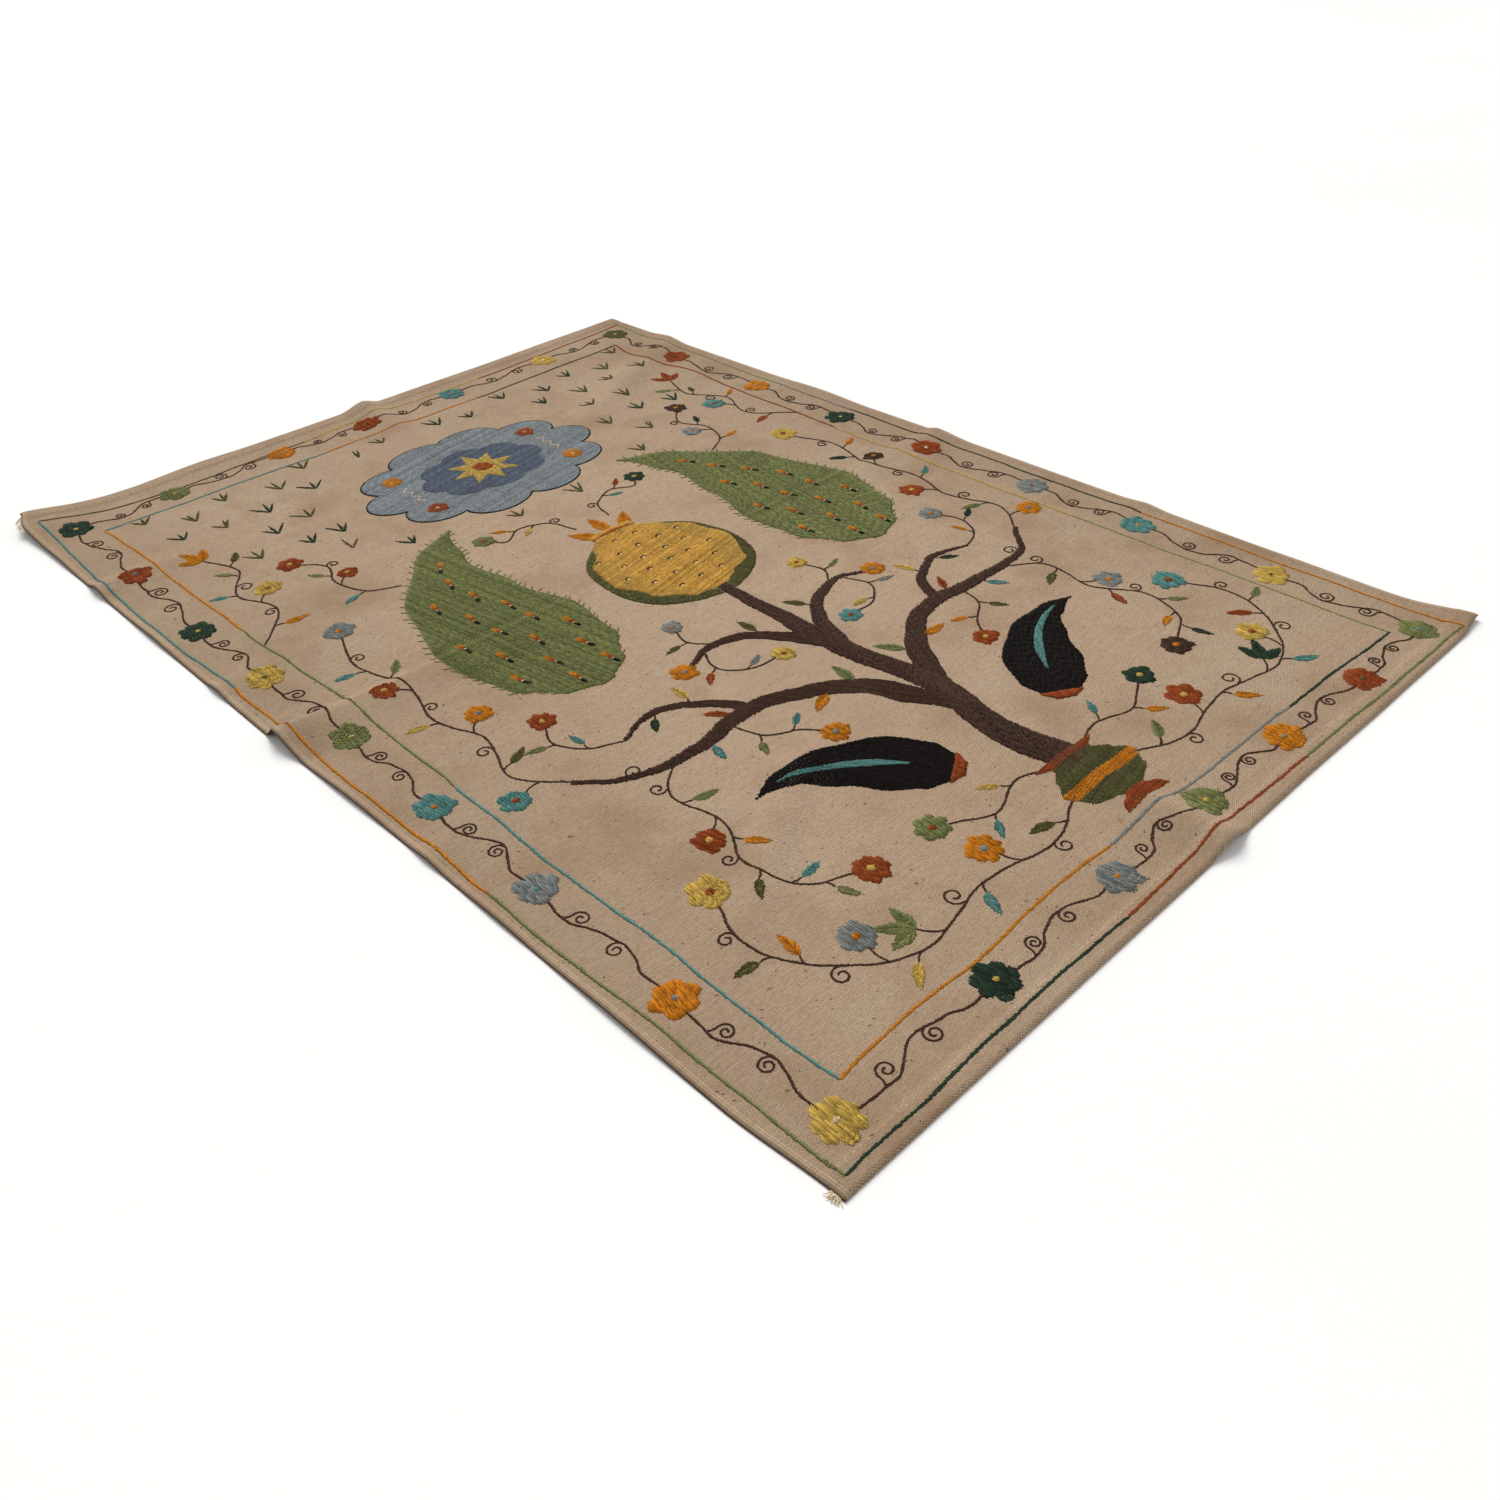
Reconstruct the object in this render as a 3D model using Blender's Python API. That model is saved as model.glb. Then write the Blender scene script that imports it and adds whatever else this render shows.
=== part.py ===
"""A flat-woven wool rug, lying on the floor as it was unfolded: one cloth with its hems, and two tufts of warp ends.

Units are metres and +Z is up. The origin is on the floor, under the middle of the rug's bounding box. The short
ends face -Y and +Y, the selvedges face -X and +X. Tables below are in the rug's own plan, whose origin is the
middle of the true rectangle. PLAN_SHIFT moves that plan to the part's origin.
"""

import math

import bmesh
import bpy
from mathutils import Matrix, Vector

# Driving dimensions of the cloth.
WIDTH = 1.400
LENGTH = 2.050
CLOTH_THICK = 0.0030
PLAN_SHIFT = Vector((0.0123, 0.0035, 0.0))

# The short ends are turned under once and sewn. The selvedges are bound over a thicker bundle of warps.
HEM_DEPTH = 0.028
HEM_THICK = 0.0054
SELVEDGE_WIDTH = 0.009
SELVEDGE_THICK = 0.0042
STEP_WIDTH = 0.008
RIM_WIDTH = 0.004
RIM_THICK = 0.0024

# How far each side bows out from a true rectangle. Columns: share of the side's length, outward bow.
# Long sides run from the near end to the far end, short sides from the left to the right.
LEFT_BOW = ((0.0, 0.000), (0.08, 0.009), (0.35, 0.008), (0.55, 0.016), (0.90, 0.018), (0.97, 0.020), (1.0, 0.004))
RIGHT_BOW = ((0.0, -0.004), (0.06, -0.018), (0.15, -0.014), (0.30, -0.006), (0.50, 0.000), (1.0, 0.002))
NEAR_BOW = ((0.0, 0.000), (0.60, 0.001), (0.80, 0.005), (0.95, 0.007), (1.0, 0.000))
FAR_BOW = ((0.0, -0.002), (0.07, -0.012), (0.15, -0.018), (0.30, -0.014), (0.70, -0.010), (0.90, -0.003), (1.0, 0.000))

# Folds that stayed in the cloth after it was unfolded.
# Columns: start x, start y, end x, end y, heights at equal steps from start to end, width of the left flank,
# width of the right flank. Left and right are as seen when walking from start to end.
FOLDS = (
    # the crosswise fold at half length
    (-0.730, 0.040, 0.730, 0.012, (0.021, 0.008, 0.0035, 0.0015, 0.0012, 0.0014, 0.002, 0.003, 0.007), 0.030, 0.085),
    # the lengthwise fold at half width
    (-0.008, -1.040, 0.004, 1.040, (0.014, 0.0045, 0.003, 0.002, 0.0012, 0.0012, 0.002, 0.003, 0.012), 0.060, 0.045),
    # the long slanting wrinkle at the far right
    (0.230, 0.560, 0.730, 0.830, (0.0, 0.007, 0.012, 0.009, 0.006), 0.070, 0.060),
    # the slanting wrinkle at the near left
    (-0.590, -0.750, -0.180, -0.480, (0.0, 0.006, 0.007, 0.0), 0.055, 0.045),
    # soft crosswise wrinkles from the left side
    (-0.730, 0.655, -0.440, 0.672, (0.011, 0.004, 0.0), 0.045, 0.060),
    (-0.730, 0.222, -0.480, 0.235, (0.006, 0.003, 0.0), 0.045, 0.055),
    (-0.600, 0.345, -0.230, 0.415, (0.0, 0.004, 0.0), 0.055, 0.055),
    (-0.730, -0.330, -0.500, -0.300, (0.005, 0.002, 0.0), 0.050, 0.060),
    # small wrinkles in the field
    (0.300, 0.530, 0.470, 0.470, (0.0, 0.004, 0.0), 0.040, 0.040),
    (0.300, 0.180, 0.550, 0.265, (0.0, 0.003, 0.0), 0.050, 0.050),
    (-0.190, -0.570, -0.010, -0.440, (0.0, 0.003, 0.0), 0.045, 0.045),
    (0.560, -0.420, 0.730, -0.470, (0.0, 0.002, 0.005), 0.050, 0.050),
)

# Corners and edges that lift off the floor. Columns: centre x, centre y, height, reach.
LIFTS = (
    (-0.735, 1.020, 0.018, 0.190),
    (0.725, -1.040, 0.007, 0.120),
    (0.720, 0.330, 0.004, 0.140),
    (-0.735, 0.830, 0.005, 0.110),
    (-0.735, 0.440, 0.004, 0.120),
    (-0.735, -0.150, 0.004, 0.130),
    (-0.735, -0.480, 0.003, 0.100),
    (-0.725, -0.700, 0.004, 0.150),
    (-0.380, 1.050, 0.004, 0.140),
)

# How much a fold's flank falls in a straight line beside its soft step: 0 is a round crest, 1 a sharp one.
CREST_SHARPNESS = 0.35

# Grid lines of the cloth. Columns: where a strip starts, how many cells it has. The last row ends the table.
STRIPS_ACROSS = (
    (-0.5 * WIDTH, 1),
    (-0.5 * WIDTH + RIM_WIDTH, 1),
    (-0.5 * WIDTH + SELVEDGE_WIDTH, 1),
    (-0.5 * WIDTH + SELVEDGE_WIDTH + STEP_WIDTH, 20),
    (-0.070, 3),
    (-0.026, 4),
    (0.022, 3),
    (0.060, 20),
    (0.5 * WIDTH - SELVEDGE_WIDTH - STEP_WIDTH, 1),
    (0.5 * WIDTH - SELVEDGE_WIDTH, 1),
    (0.5 * WIDTH - RIM_WIDTH, 1),
    (0.5 * WIDTH, 0),
)
STRIPS_ALONG = (
    (-0.5 * LENGTH, 1),
    (-0.5 * LENGTH + RIM_WIDTH, 1),
    (-0.5 * LENGTH + HEM_DEPTH, 1),
    (-0.5 * LENGTH + HEM_DEPTH + STEP_WIDTH, 20),
    (-0.070, 5),
    (0.010, 6),
    (0.080, 13),
    (0.540, 10),
    (0.800, 5),
    (0.5 * LENGTH - HEM_DEPTH - STEP_WIDTH, 1),
    (0.5 * LENGTH - HEM_DEPTH, 1),
    (0.5 * LENGTH - RIM_WIDTH, 1),
    (0.5 * LENGTH, 0),
)
FLAT_ANGLE = math.radians(0.05)
SLOPE_STEP = 0.002

# Loose cotton warp ends beside two corners, each a narrow strip along the rim with its locks fused into it.
# Columns: node, start y and end y of the strip, number of locks, lock length, sweep of the first and the last lock
# in degrees from straight outwards towards the near end, drop of the tips.
TUFTS = (
    ("near_corner_warp_ends", -1.0195, -1.0075, 4, 0.0100, 25.0, -20.0, 0.0),
    ("far_corner_warp_ends", 0.9700, 1.0080, 7, 0.0150, 65.0, 5.0, 0.0050),
)
TUFT_GAP = 0.0003
TUFT_STRIP_WIDTH = 0.0022
TUFT_THICK = 0.0022
LOCK_TAPER = 0.5
LOCK_UNEVENNESS = 0.18
LOCK_PHASE = 5.0

WOOL_COLOUR = (0.417, 0.297, 0.204, 1.0)
COTTON_COLOUR = (0.720, 0.590, 0.430, 1.0)


def clear_scene():
    for thing in list(bpy.data.objects):
        bpy.data.objects.remove(thing)


def collection_named(name):
    made = bpy.data.collections.new(name)
    bpy.context.scene.collection.children.link(made)
    return made


def fabric(name, colour, roughness):
    made = bpy.data.materials.new(name)
    made.use_nodes = True
    shader = made.node_tree.nodes["Principled BSDF"]
    shader.inputs["Base Color"].default_value = colour
    shader.inputs["Roughness"].default_value = roughness
    shader.inputs["Metallic"].default_value = 0.0
    return made


def smooth(share):
    """A soft step from 0 to 1."""
    share = min(1.0, max(0.0, share))
    return share * share * (3.0 - 2.0 * share)


def read_table(rows, at):
    """The value of a (position, value) table at a position, with soft steps between its rows."""
    if at <= rows[0][0]:
        return rows[0][1]
    for (start, low), (end, high) in zip(rows, rows[1:]):
        if at <= end:
            return low + (high - low) * smooth((at - start) / (end - start))
    return rows[-1][1]


def fold_height(fold, x, y):
    """The height of one fold over a point: a soft crest, with heights that change along it."""
    start_x, start_y, end_x, end_y, heights, left_width, right_width = fold
    along = Vector((end_x - start_x, end_y - start_y))
    run = along.length
    along.normalize()
    to_point = Vector((x - start_x, y - start_y))
    share = to_point.dot(along) / run
    if not 0.0 <= share <= 1.0:
        return 0.0
    aside = along.x * to_point.y - along.y * to_point.x
    away = aside / left_width if aside > 0.0 else -aside / right_width
    if away >= 1.0:
        return 0.0
    steps = len(heights) - 1
    crest = read_table([(i / steps, height) for i, height in enumerate(heights)], share)
    return crest * (1.0 - smooth(away)) * (1.0 - CREST_SHARPNESS * away)


def lift_height(lift, x, y):
    """The height of one lifted place over a point."""
    centre_x, centre_y, height, reach = lift
    away = math.hypot(x - centre_x, y - centre_y) / reach
    return height * (1.0 - smooth(away))


def floor_gap(x, y):
    """How far the underside is above the floor."""
    folds = sum(fold_height(fold, x, y) for fold in FOLDS)
    return folds + sum(lift_height(lift, x, y) for lift in LIFTS)


def slope_factor(x, y):
    """How much longer the upright thickness is than the true one, where the cloth slopes."""
    here = floor_gap(x, y)
    slope_x = (floor_gap(x + SLOPE_STEP, y) - here) / SLOPE_STEP
    slope_y = (floor_gap(x, y + SLOPE_STEP) - here) / SLOPE_STEP
    return math.sqrt(1.0 + slope_x * slope_x + slope_y * slope_y)


def thickness(from_side, from_end):
    """The cloth's thickness by the distances to the nearest selvedge and the nearest short end."""
    selvedge = 1.0 - smooth((from_side - SELVEDGE_WIDTH) / STEP_WIDTH)
    hem = 1.0 - smooth((from_end - HEM_DEPTH) / STEP_WIDTH)
    thick = CLOTH_THICK + (SELVEDGE_THICK - CLOTH_THICK) * selvedge
    thick += (HEM_THICK - thick) * hem
    rim = smooth(min(from_side, from_end) / RIM_WIDTH)
    return RIM_THICK + (thick - RIM_THICK) * rim


def grid_lines(strips):
    """The positions of all grid lines of a strip table."""
    lines = []
    for (start, cells), (end, _) in zip(strips, strips[1:]):
        lines += [start + (end - start) * i / cells for i in range(cells)]
    return lines + [strips[-1][0]]


def bowed(x, y):
    """A point of the true rectangle, moved so that the sides bow as they do in the real outline."""
    share_x = x / WIDTH + 0.5
    share_y = y / LENGTH + 0.5
    left = -read_table(LEFT_BOW, share_y)
    right = read_table(RIGHT_BOW, share_y)
    near = -read_table(NEAR_BOW, share_x)
    far = read_table(FAR_BOW, share_x)
    # The bow dies away towards the middle of the cloth.
    pull_x = left * (1.0 - share_x) ** 3 + right * share_x**3
    pull_y = near * (1.0 - share_y) ** 3 + far * share_y**3
    return x + pull_x, y + pull_y


def make_cloth(collection, material):
    """The rug's one cloth: a grid given thickness, then lifted along its folds."""
    across, along = grid_lines(STRIPS_ACROSS), grid_lines(STRIPS_ALONG)
    columns, rows = len(across) - 1, len(along) - 1
    bm = bmesh.new()
    bmesh.ops.create_grid(bm, x_segments=columns, y_segments=rows, size=0.5)
    for vert in bm.verts:
        column = round((vert.co.x + 0.5) * columns)
        row = round((vert.co.y + 0.5) * rows)
        vert.co = (across[column], along[row], 0.0)
    bmesh.ops.solidify(bm, geom=bm.faces[:], thickness=CLOTH_THICK)
    middle = sum(vert.co.z for vert in bm.verts) / len(bm.verts)
    for vert in bm.verts:
        is_top = vert.co.z > middle
        from_side = 0.5 * WIDTH - abs(vert.co.x)
        from_end = 0.5 * LENGTH - abs(vert.co.y)
        x, y = bowed(vert.co.x, vert.co.y)
        z = floor_gap(x, y)
        if is_top:
            z += thickness(from_side, from_end) * slope_factor(x, y)
        vert.co = (x, y, z)
    bmesh.ops.recalc_face_normals(bm, faces=bm.faces[:])
    bmesh.ops.dissolve_limit(bm, angle_limit=FLAT_ANGLE, verts=bm.verts[:], edges=bm.edges[:])
    bmesh.ops.triangulate(bm, faces=bm.faces[:])
    mesh = bpy.data.meshes.new("kilim_cloth")
    bm.to_mesh(mesh)
    bm.free()
    mesh.shade_smooth()
    mesh.materials.append(material)
    collection.objects.link(bpy.data.objects.new("kilim_cloth", mesh))


def left_rim(y):
    """The point of the left rim at a given y, on the straight lines between the cloth's grid rows."""
    corners = [bowed(-0.5 * WIDTH, row) for row in grid_lines(STRIPS_ALONG)]
    points = [Vector((rim_x, rim_y, floor_gap(rim_x, rim_y))) for rim_x, rim_y in corners]
    for start, end in zip(points, points[1:]):
        if y <= end.y:
            break
    return start.lerp(end, (y - start.y) / (end.y - start.y))


def make_tuft(row, collection, material):
    """A strip that follows the rim of the cloth, with locks drawn out of every second face of its outer side."""
    name, start_y, end_y, count, length, first_sweep, last_sweep, drop = row
    bm = bmesh.new()
    bmesh.ops.create_cube(bm, size=1.0)
    long_edges = [edge for edge in bm.edges if abs(edge.verts[0].co.y - edge.verts[1].co.y) > 0.5]
    bmesh.ops.subdivide_edges(bm, edges=long_edges, cuts=2 * count - 2, use_grid_fill=True)
    for vert in bm.verts:
        rim = left_rim(start_y + (end_y - start_y) * (vert.co.y + 0.5))
        outwards = TUFT_GAP + TUFT_STRIP_WIDTH * (0.5 - vert.co.x)
        vert.co = rim + Vector((-outwards, 0.0, TUFT_THICK * (vert.co.z + 0.5)))
    bm.normal_update()
    outer = [face for face in bm.faces if face.normal.x < -0.8]
    outer.sort(key=lambda face: face.calc_center_median().y)
    made = bmesh.ops.extrude_discrete_faces(bm, faces=outer[::2])["faces"]
    made.sort(key=lambda face: face.calc_center_median().y)
    for i, face in enumerate(made):
        sweep = math.radians(first_sweep + (last_sweep - first_sweep) * i / (count - 1))
        reach = length * (1.0 - LOCK_UNEVENNESS + LOCK_UNEVENNESS * math.cos(LOCK_PHASE * i))
        centre = face.calc_center_median()
        way = Vector((-math.cos(sweep) * reach, -math.sin(sweep) * reach, -drop))
        for vert in face.verts:
            vert.co = centre + (vert.co - centre) * LOCK_TAPER + way
    if drop == 0.0:
        # These locks lie on the floor, so the taper must not lift their undersides.
        low = min(vert.co.z for vert in bm.verts)
        tips = [vert for face in made for vert in face.verts]
        middle = sum(vert.co.z for vert in tips) / len(tips)
        for vert in tips:
            vert.co.z = low if vert.co.z < middle else vert.co.z
    bmesh.ops.recalc_face_normals(bm, faces=bm.faces[:])
    mesh = bpy.data.meshes.new(name)
    bm.to_mesh(mesh)
    bm.free()
    mesh.materials.append(material)
    collection.objects.link(bpy.data.objects.new(name, mesh))


def main():
    clear_scene()
    parts = collection_named("embroidered_kilim_rug")
    wool = fabric("undyed wool", WOOL_COLOUR, 0.95)
    cotton = fabric("warp cotton", COTTON_COLOUR, 0.90)
    make_cloth(parts, wool)
    for row in TUFTS:
        make_tuft(row, parts, cotton)
    for piece in parts.objects:
        piece.data.transform(Matrix.Translation(PLAN_SHIFT))


main()
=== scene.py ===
# %% [markdown]
# This lesson dresses an embroidered kilim rug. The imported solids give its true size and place. Everything
# that the eye reads as cloth is made here: the woven sheet with its old storage folds, the hems, every
# embroidery stitch as a small strand of wool, the loose cotton ends at two corners, and the studio around
# them.

# %% Load the frame
import math
import random

import bmesh
import bpy
import numpy as np
from mathutils import Matrix, Vector


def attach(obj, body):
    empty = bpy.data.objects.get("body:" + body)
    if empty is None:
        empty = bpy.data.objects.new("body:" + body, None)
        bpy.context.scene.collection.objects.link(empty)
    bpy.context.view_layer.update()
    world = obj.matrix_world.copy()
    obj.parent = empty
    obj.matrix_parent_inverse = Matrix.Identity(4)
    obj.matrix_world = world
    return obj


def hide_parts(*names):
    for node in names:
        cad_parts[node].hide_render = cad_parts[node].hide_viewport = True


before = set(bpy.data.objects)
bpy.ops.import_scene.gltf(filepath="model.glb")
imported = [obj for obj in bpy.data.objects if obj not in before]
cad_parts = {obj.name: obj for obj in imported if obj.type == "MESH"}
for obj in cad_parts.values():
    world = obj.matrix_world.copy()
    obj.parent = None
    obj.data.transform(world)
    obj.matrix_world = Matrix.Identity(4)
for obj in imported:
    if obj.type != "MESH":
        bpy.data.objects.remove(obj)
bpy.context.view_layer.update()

# %% [markdown]
# The rug has a plan of its own: its origin is the middle of the true rectangle, X runs across it and Y
# along its warps. Every size below is in metres on that plan. PLAN_SHIFT then moves the finished meshes to
# the part's origin. The sizes are the ones that the solids were built from.

# %% Sizes of the cloth
WIDTH = 1.400
LENGTH = 2.050
CLOTH_THICK = 0.0030
PLAN_SHIFT = (0.0123, 0.0035, 0.0)
HEM_DEPTH = 0.028
HEM_THICK = 0.0054
SELVEDGE_WIDTH = 0.009
SELVEDGE_THICK = 0.0042
STEP_WIDTH = 0.008
RIM_WIDTH = 0.004
RIM_THICK = 0.0024

# How far each side bows out. Columns: share of the side's length, outward bow.
LEFT_BOW = ((0.0, 0.000), (0.08, 0.009), (0.35, 0.008), (0.55, 0.016), (0.90, 0.018), (0.97, 0.020),
            (1.0, 0.004))
RIGHT_BOW = ((0.0, -0.004), (0.06, -0.018), (0.15, -0.014), (0.30, -0.006), (0.50, 0.000), (1.0, 0.002))
NEAR_BOW = ((0.0, 0.000), (0.60, 0.001), (0.80, 0.005), (0.95, 0.007), (1.0, 0.000))
FAR_BOW = ((0.0, -0.002), (0.07, -0.012), (0.15, -0.018), (0.30, -0.014), (0.70, -0.010), (0.90, -0.003),
           (1.0, 0.000))

# Folds. Columns: start x and y, end x and y, heights at equal steps, widths of the left and the right flank.
FOLDS = (
    (-0.730, 0.040, 0.730, 0.012,
     (0.021, 0.008, 0.0035, 0.0015, 0.0012, 0.0014, 0.002, 0.003, 0.007), 0.030, 0.085),
    (-0.008, -1.040, 0.004, 1.040,
     (0.014, 0.0045, 0.003, 0.002, 0.0012, 0.0012, 0.002, 0.003, 0.012), 0.060, 0.045),
    (0.230, 0.560, 0.730, 0.830, (0.0, 0.007, 0.012, 0.009, 0.006), 0.070, 0.060),
    (-0.590, -0.750, -0.180, -0.480, (0.0, 0.006, 0.007, 0.0), 0.055, 0.045),
    (-0.730, 0.655, -0.440, 0.672, (0.011, 0.004, 0.0), 0.045, 0.060),
    (-0.730, 0.222, -0.480, 0.235, (0.006, 0.003, 0.0), 0.045, 0.055),
    (-0.600, 0.345, -0.230, 0.415, (0.0, 0.004, 0.0), 0.055, 0.055),
    (-0.730, -0.330, -0.500, -0.300, (0.005, 0.002, 0.0), 0.050, 0.060),
    (0.300, 0.530, 0.470, 0.470, (0.0, 0.004, 0.0), 0.040, 0.040),
    (0.300, 0.180, 0.550, 0.265, (0.0, 0.003, 0.0), 0.050, 0.050),
    (-0.190, -0.570, -0.010, -0.440, (0.0, 0.003, 0.0), 0.045, 0.045),
    (0.560, -0.420, 0.730, -0.470, (0.0, 0.002, 0.005), 0.050, 0.050),
)
CREST_SHARPNESS = 0.35
# About half the size of a facet of the mesh.
FACET = 0.0065

# Lifted corners and edges. Columns: centre x, centre y, height, reach.
LIFTS = (
    (-0.735, 1.020, 0.018, 0.190),
    (0.725, -1.040, 0.007, 0.120),
    (0.720, 0.330, 0.004, 0.140),
    (-0.735, 0.830, 0.005, 0.110),
    (-0.735, 0.440, 0.004, 0.120),
    (-0.735, -0.150, 0.004, 0.130),
    (-0.735, -0.480, 0.003, 0.100),
    (-0.725, -0.700, 0.004, 0.150),
    (-0.380, 1.050, 0.004, 0.140),
)

# %% [markdown]
# A cloth simulation could drop the rug on the floor, but the folds would then land where they like. The
# folds here are the ones that the rug kept, so each is a soft crest along a line, with a height that
# changes along it. The same functions give the height of the cloth and of every stitch on it, so nothing
# floats and nothing sinks in. They work on whole arrays of points at once.

# %% The shape of the cloth as functions
def smooth(share):
    share = np.clip(share, 0.0, 1.0)
    return share * share * (3.0 - 2.0 * share)


def read_table(rows, at):
    """The values of a (position, value) table, with soft steps between its rows."""
    at = np.asarray(at, dtype=float)
    value = np.full(at.shape, float(rows[0][1]))
    for (start, low), (end, high) in zip(rows, rows[1:]):
        value = np.where(at > start, low + (high - low) * smooth((at - start) / (end - start)), value)
    return value


def fold_height(fold, x, y):
    start_x, start_y, end_x, end_y, heights, left_width, right_width = fold
    run = math.hypot(end_x - start_x, end_y - start_y)
    along_x, along_y = (end_x - start_x) / run, (end_y - start_y) / run
    share = ((x - start_x) * along_x + (y - start_y) * along_y) / run
    aside = along_x * (y - start_y) - along_y * (x - start_x)
    away = np.where(aside > 0.0, aside / left_width, -aside / right_width)
    crest = read_table([(i / (len(heights) - 1), height) for i, height in enumerate(heights)], share)
    shape = (1.0 - smooth(away)) * (1.0 - CREST_SHARPNESS * np.clip(away, 0.0, 1.0))
    return np.where((share >= 0.0) & (share <= 1.0), crest * shape, 0.0)


def floor_gap(x, y):
    """How far the underside is above the floor."""
    gap = sum(fold_height(fold, x, y) for fold in FOLDS)
    for centre_x, centre_y, height, reach in LIFTS:
        gap = gap + height * (1.0 - smooth(np.hypot(x - centre_x, y - centre_y) / reach))
    return gap


def slopes(x, y):
    step = 0.002
    here = floor_gap(x, y)
    return (floor_gap(x + step, y) - here) / step, (floor_gap(x, y + step) - here) / step


def rim_distances(x, y):
    """The distances from a point to the nearest selvedge and to the nearest short end."""
    share_x, share_y = x / WIDTH + 0.5, y / LENGTH + 0.5
    left = x + 0.5 * WIDTH + read_table(LEFT_BOW, share_y)
    right = 0.5 * WIDTH + read_table(RIGHT_BOW, share_y) - x
    near = y + 0.5 * LENGTH + read_table(NEAR_BOW, share_x)
    far = 0.5 * LENGTH + read_table(FAR_BOW, share_x) - y
    return np.minimum(left, right), np.minimum(near, far)


def thickness(x, y):
    from_side, from_end = rim_distances(x, y)
    selvedge = 1.0 - smooth((from_side - SELVEDGE_WIDTH) / STEP_WIDTH)
    hem = 1.0 - smooth((from_end - HEM_DEPTH) / STEP_WIDTH)
    thick = CLOTH_THICK + (SELVEDGE_THICK - CLOTH_THICK) * selvedge
    thick = thick + (HEM_THICK - thick) * hem
    return RIM_THICK + (thick - RIM_THICK) * smooth(np.minimum(from_side, from_end) / RIM_WIDTH)


def top_height(x, y):
    slope_x, slope_y = slopes(x, y)
    return floor_gap(x, y) + thickness(x, y) * np.sqrt(1.0 + slope_x**2 + slope_y**2)


def sewn_height(x, y):
    """The height that needlework lies on. Facets of the mesh span a hollow a little above the true curve."""
    beside = 0.25 * sum(
        top_height(x + aside, y + ahead)
        for aside, ahead in ((FACET, 0.0), (-FACET, 0.0), (0.0, FACET), (0.0, -FACET))
    )
    return np.maximum(top_height(x, y), beside)


def bowed(x, y):
    """A point of the true rectangle, moved so that the sides bow. The bow dies away towards the middle."""
    share_x, share_y = x / WIDTH + 0.5, y / LENGTH + 0.5
    left_pull, right_pull = (1.0 - share_x) ** 3, share_x**3
    near_pull, far_pull = (1.0 - share_y) ** 3, share_y**3
    pull_x = -read_table(LEFT_BOW, share_y) * left_pull + read_table(RIGHT_BOW, share_y) * right_pull
    pull_y = -read_table(NEAR_BOW, share_x) * near_pull + read_table(FAR_BOW, share_x) * far_pull
    return x + pull_x, y + pull_y


print("highest point of the cloth, mm:", round(1000 * float(top_height(np.array(-0.7), np.array(0.042))), 1))

# %% [markdown]
# Materials first, because each piece takes one as it is made. Wool is matt: high roughness, a very low
# specular level and only a trace of sheen, or the dark dyes would turn grey. These small helpers keep the
# node trees short to read.

# %% Node helpers
def colour_of(red, green, blue):
    """A colour as a screen shows it, turned into the linear values that shaders use."""
    parts = [value / 255.0 for value in (red, green, blue)]
    return tuple(p / 12.92 if p <= 0.04045 else ((p + 0.055) / 1.055) ** 2.4 for p in parts) + (1.0,)


def node(tree, kind, sockets=None, **settings):
    made = tree.nodes.new(kind)
    for name, value in settings.items():
        setattr(made, name, value)
    for name, value in (sockets or {}).items():
        if isinstance(value, bpy.types.NodeSocket):
            tree.links.new(value, made.inputs[name])
        else:
            made.inputs[name].default_value = value
    return made


def maths(tree, operation, first, second=0.0):
    return node(tree, "ShaderNodeMath", {0: first, 1: second}, operation=operation).outputs[0]


def plus(tree, first, second):
    return maths(tree, "ADD", first, second)


def times(tree, first, second):
    return maths(tree, "MULTIPLY", first, second)


def blend_colours(tree, share, first, second, kind="MIX"):
    made = node(tree, "ShaderNodeMix", data_type="RGBA", blend_type=kind)
    for name, value in (("Factor_Float", share), ("A_Color", first), ("B_Color", second)):
        socket = next(s for s in made.inputs if s.identifier == name)
        if isinstance(value, bpy.types.NodeSocket):
            tree.links.new(value, socket)
        else:
            socket.default_value = value
    return next(s for s in made.outputs if s.identifier == "Result_Color")


def noise(tree, place, scale, detail=2.0, roughness=0.5):
    sockets = {"Vector": place, "Scale": scale, "Detail": detail, "Roughness": roughness}
    return node(tree, "ShaderNodeTexNoise", sockets).outputs["Fac"]


def ramp(tree, value, low, high):
    """Stretches a value so that low becomes 0 and high becomes 1."""
    sockets = {"Value": value, "From Min": low, "From Max": high}
    return node(tree, "ShaderNodeMapRange", sockets, clamp=True).outputs[0]


def layer(tree, place, scale, detail, roughness, low, high):
    """Noise that is 0 up to low and 1 from high on."""
    return ramp(tree, noise(tree, place, scale, detail, roughness), low, high)


def bumpy(tree, shader, height, strength, distance):
    bump = node(tree, "ShaderNodeBump", {"Height": height, "Strength": strength, "Distance": distance})
    tree.links.new(bump.outputs[0], shader.inputs["Normal"])


def wool_shader(name, roughness=0.92, sheen=0.02):
    made = bpy.data.materials.new(name)
    made.use_nodes = True
    shader = made.node_tree.nodes["Principled BSDF"]
    settings = {"Roughness": roughness, "Specular IOR Level": 0.06,
                "Sheen Weight": sheen, "Sheen Roughness": 0.6}
    for socket, value in settings.items():
        shader.inputs[socket].default_value = value
    return made, made.node_tree, shader


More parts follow.
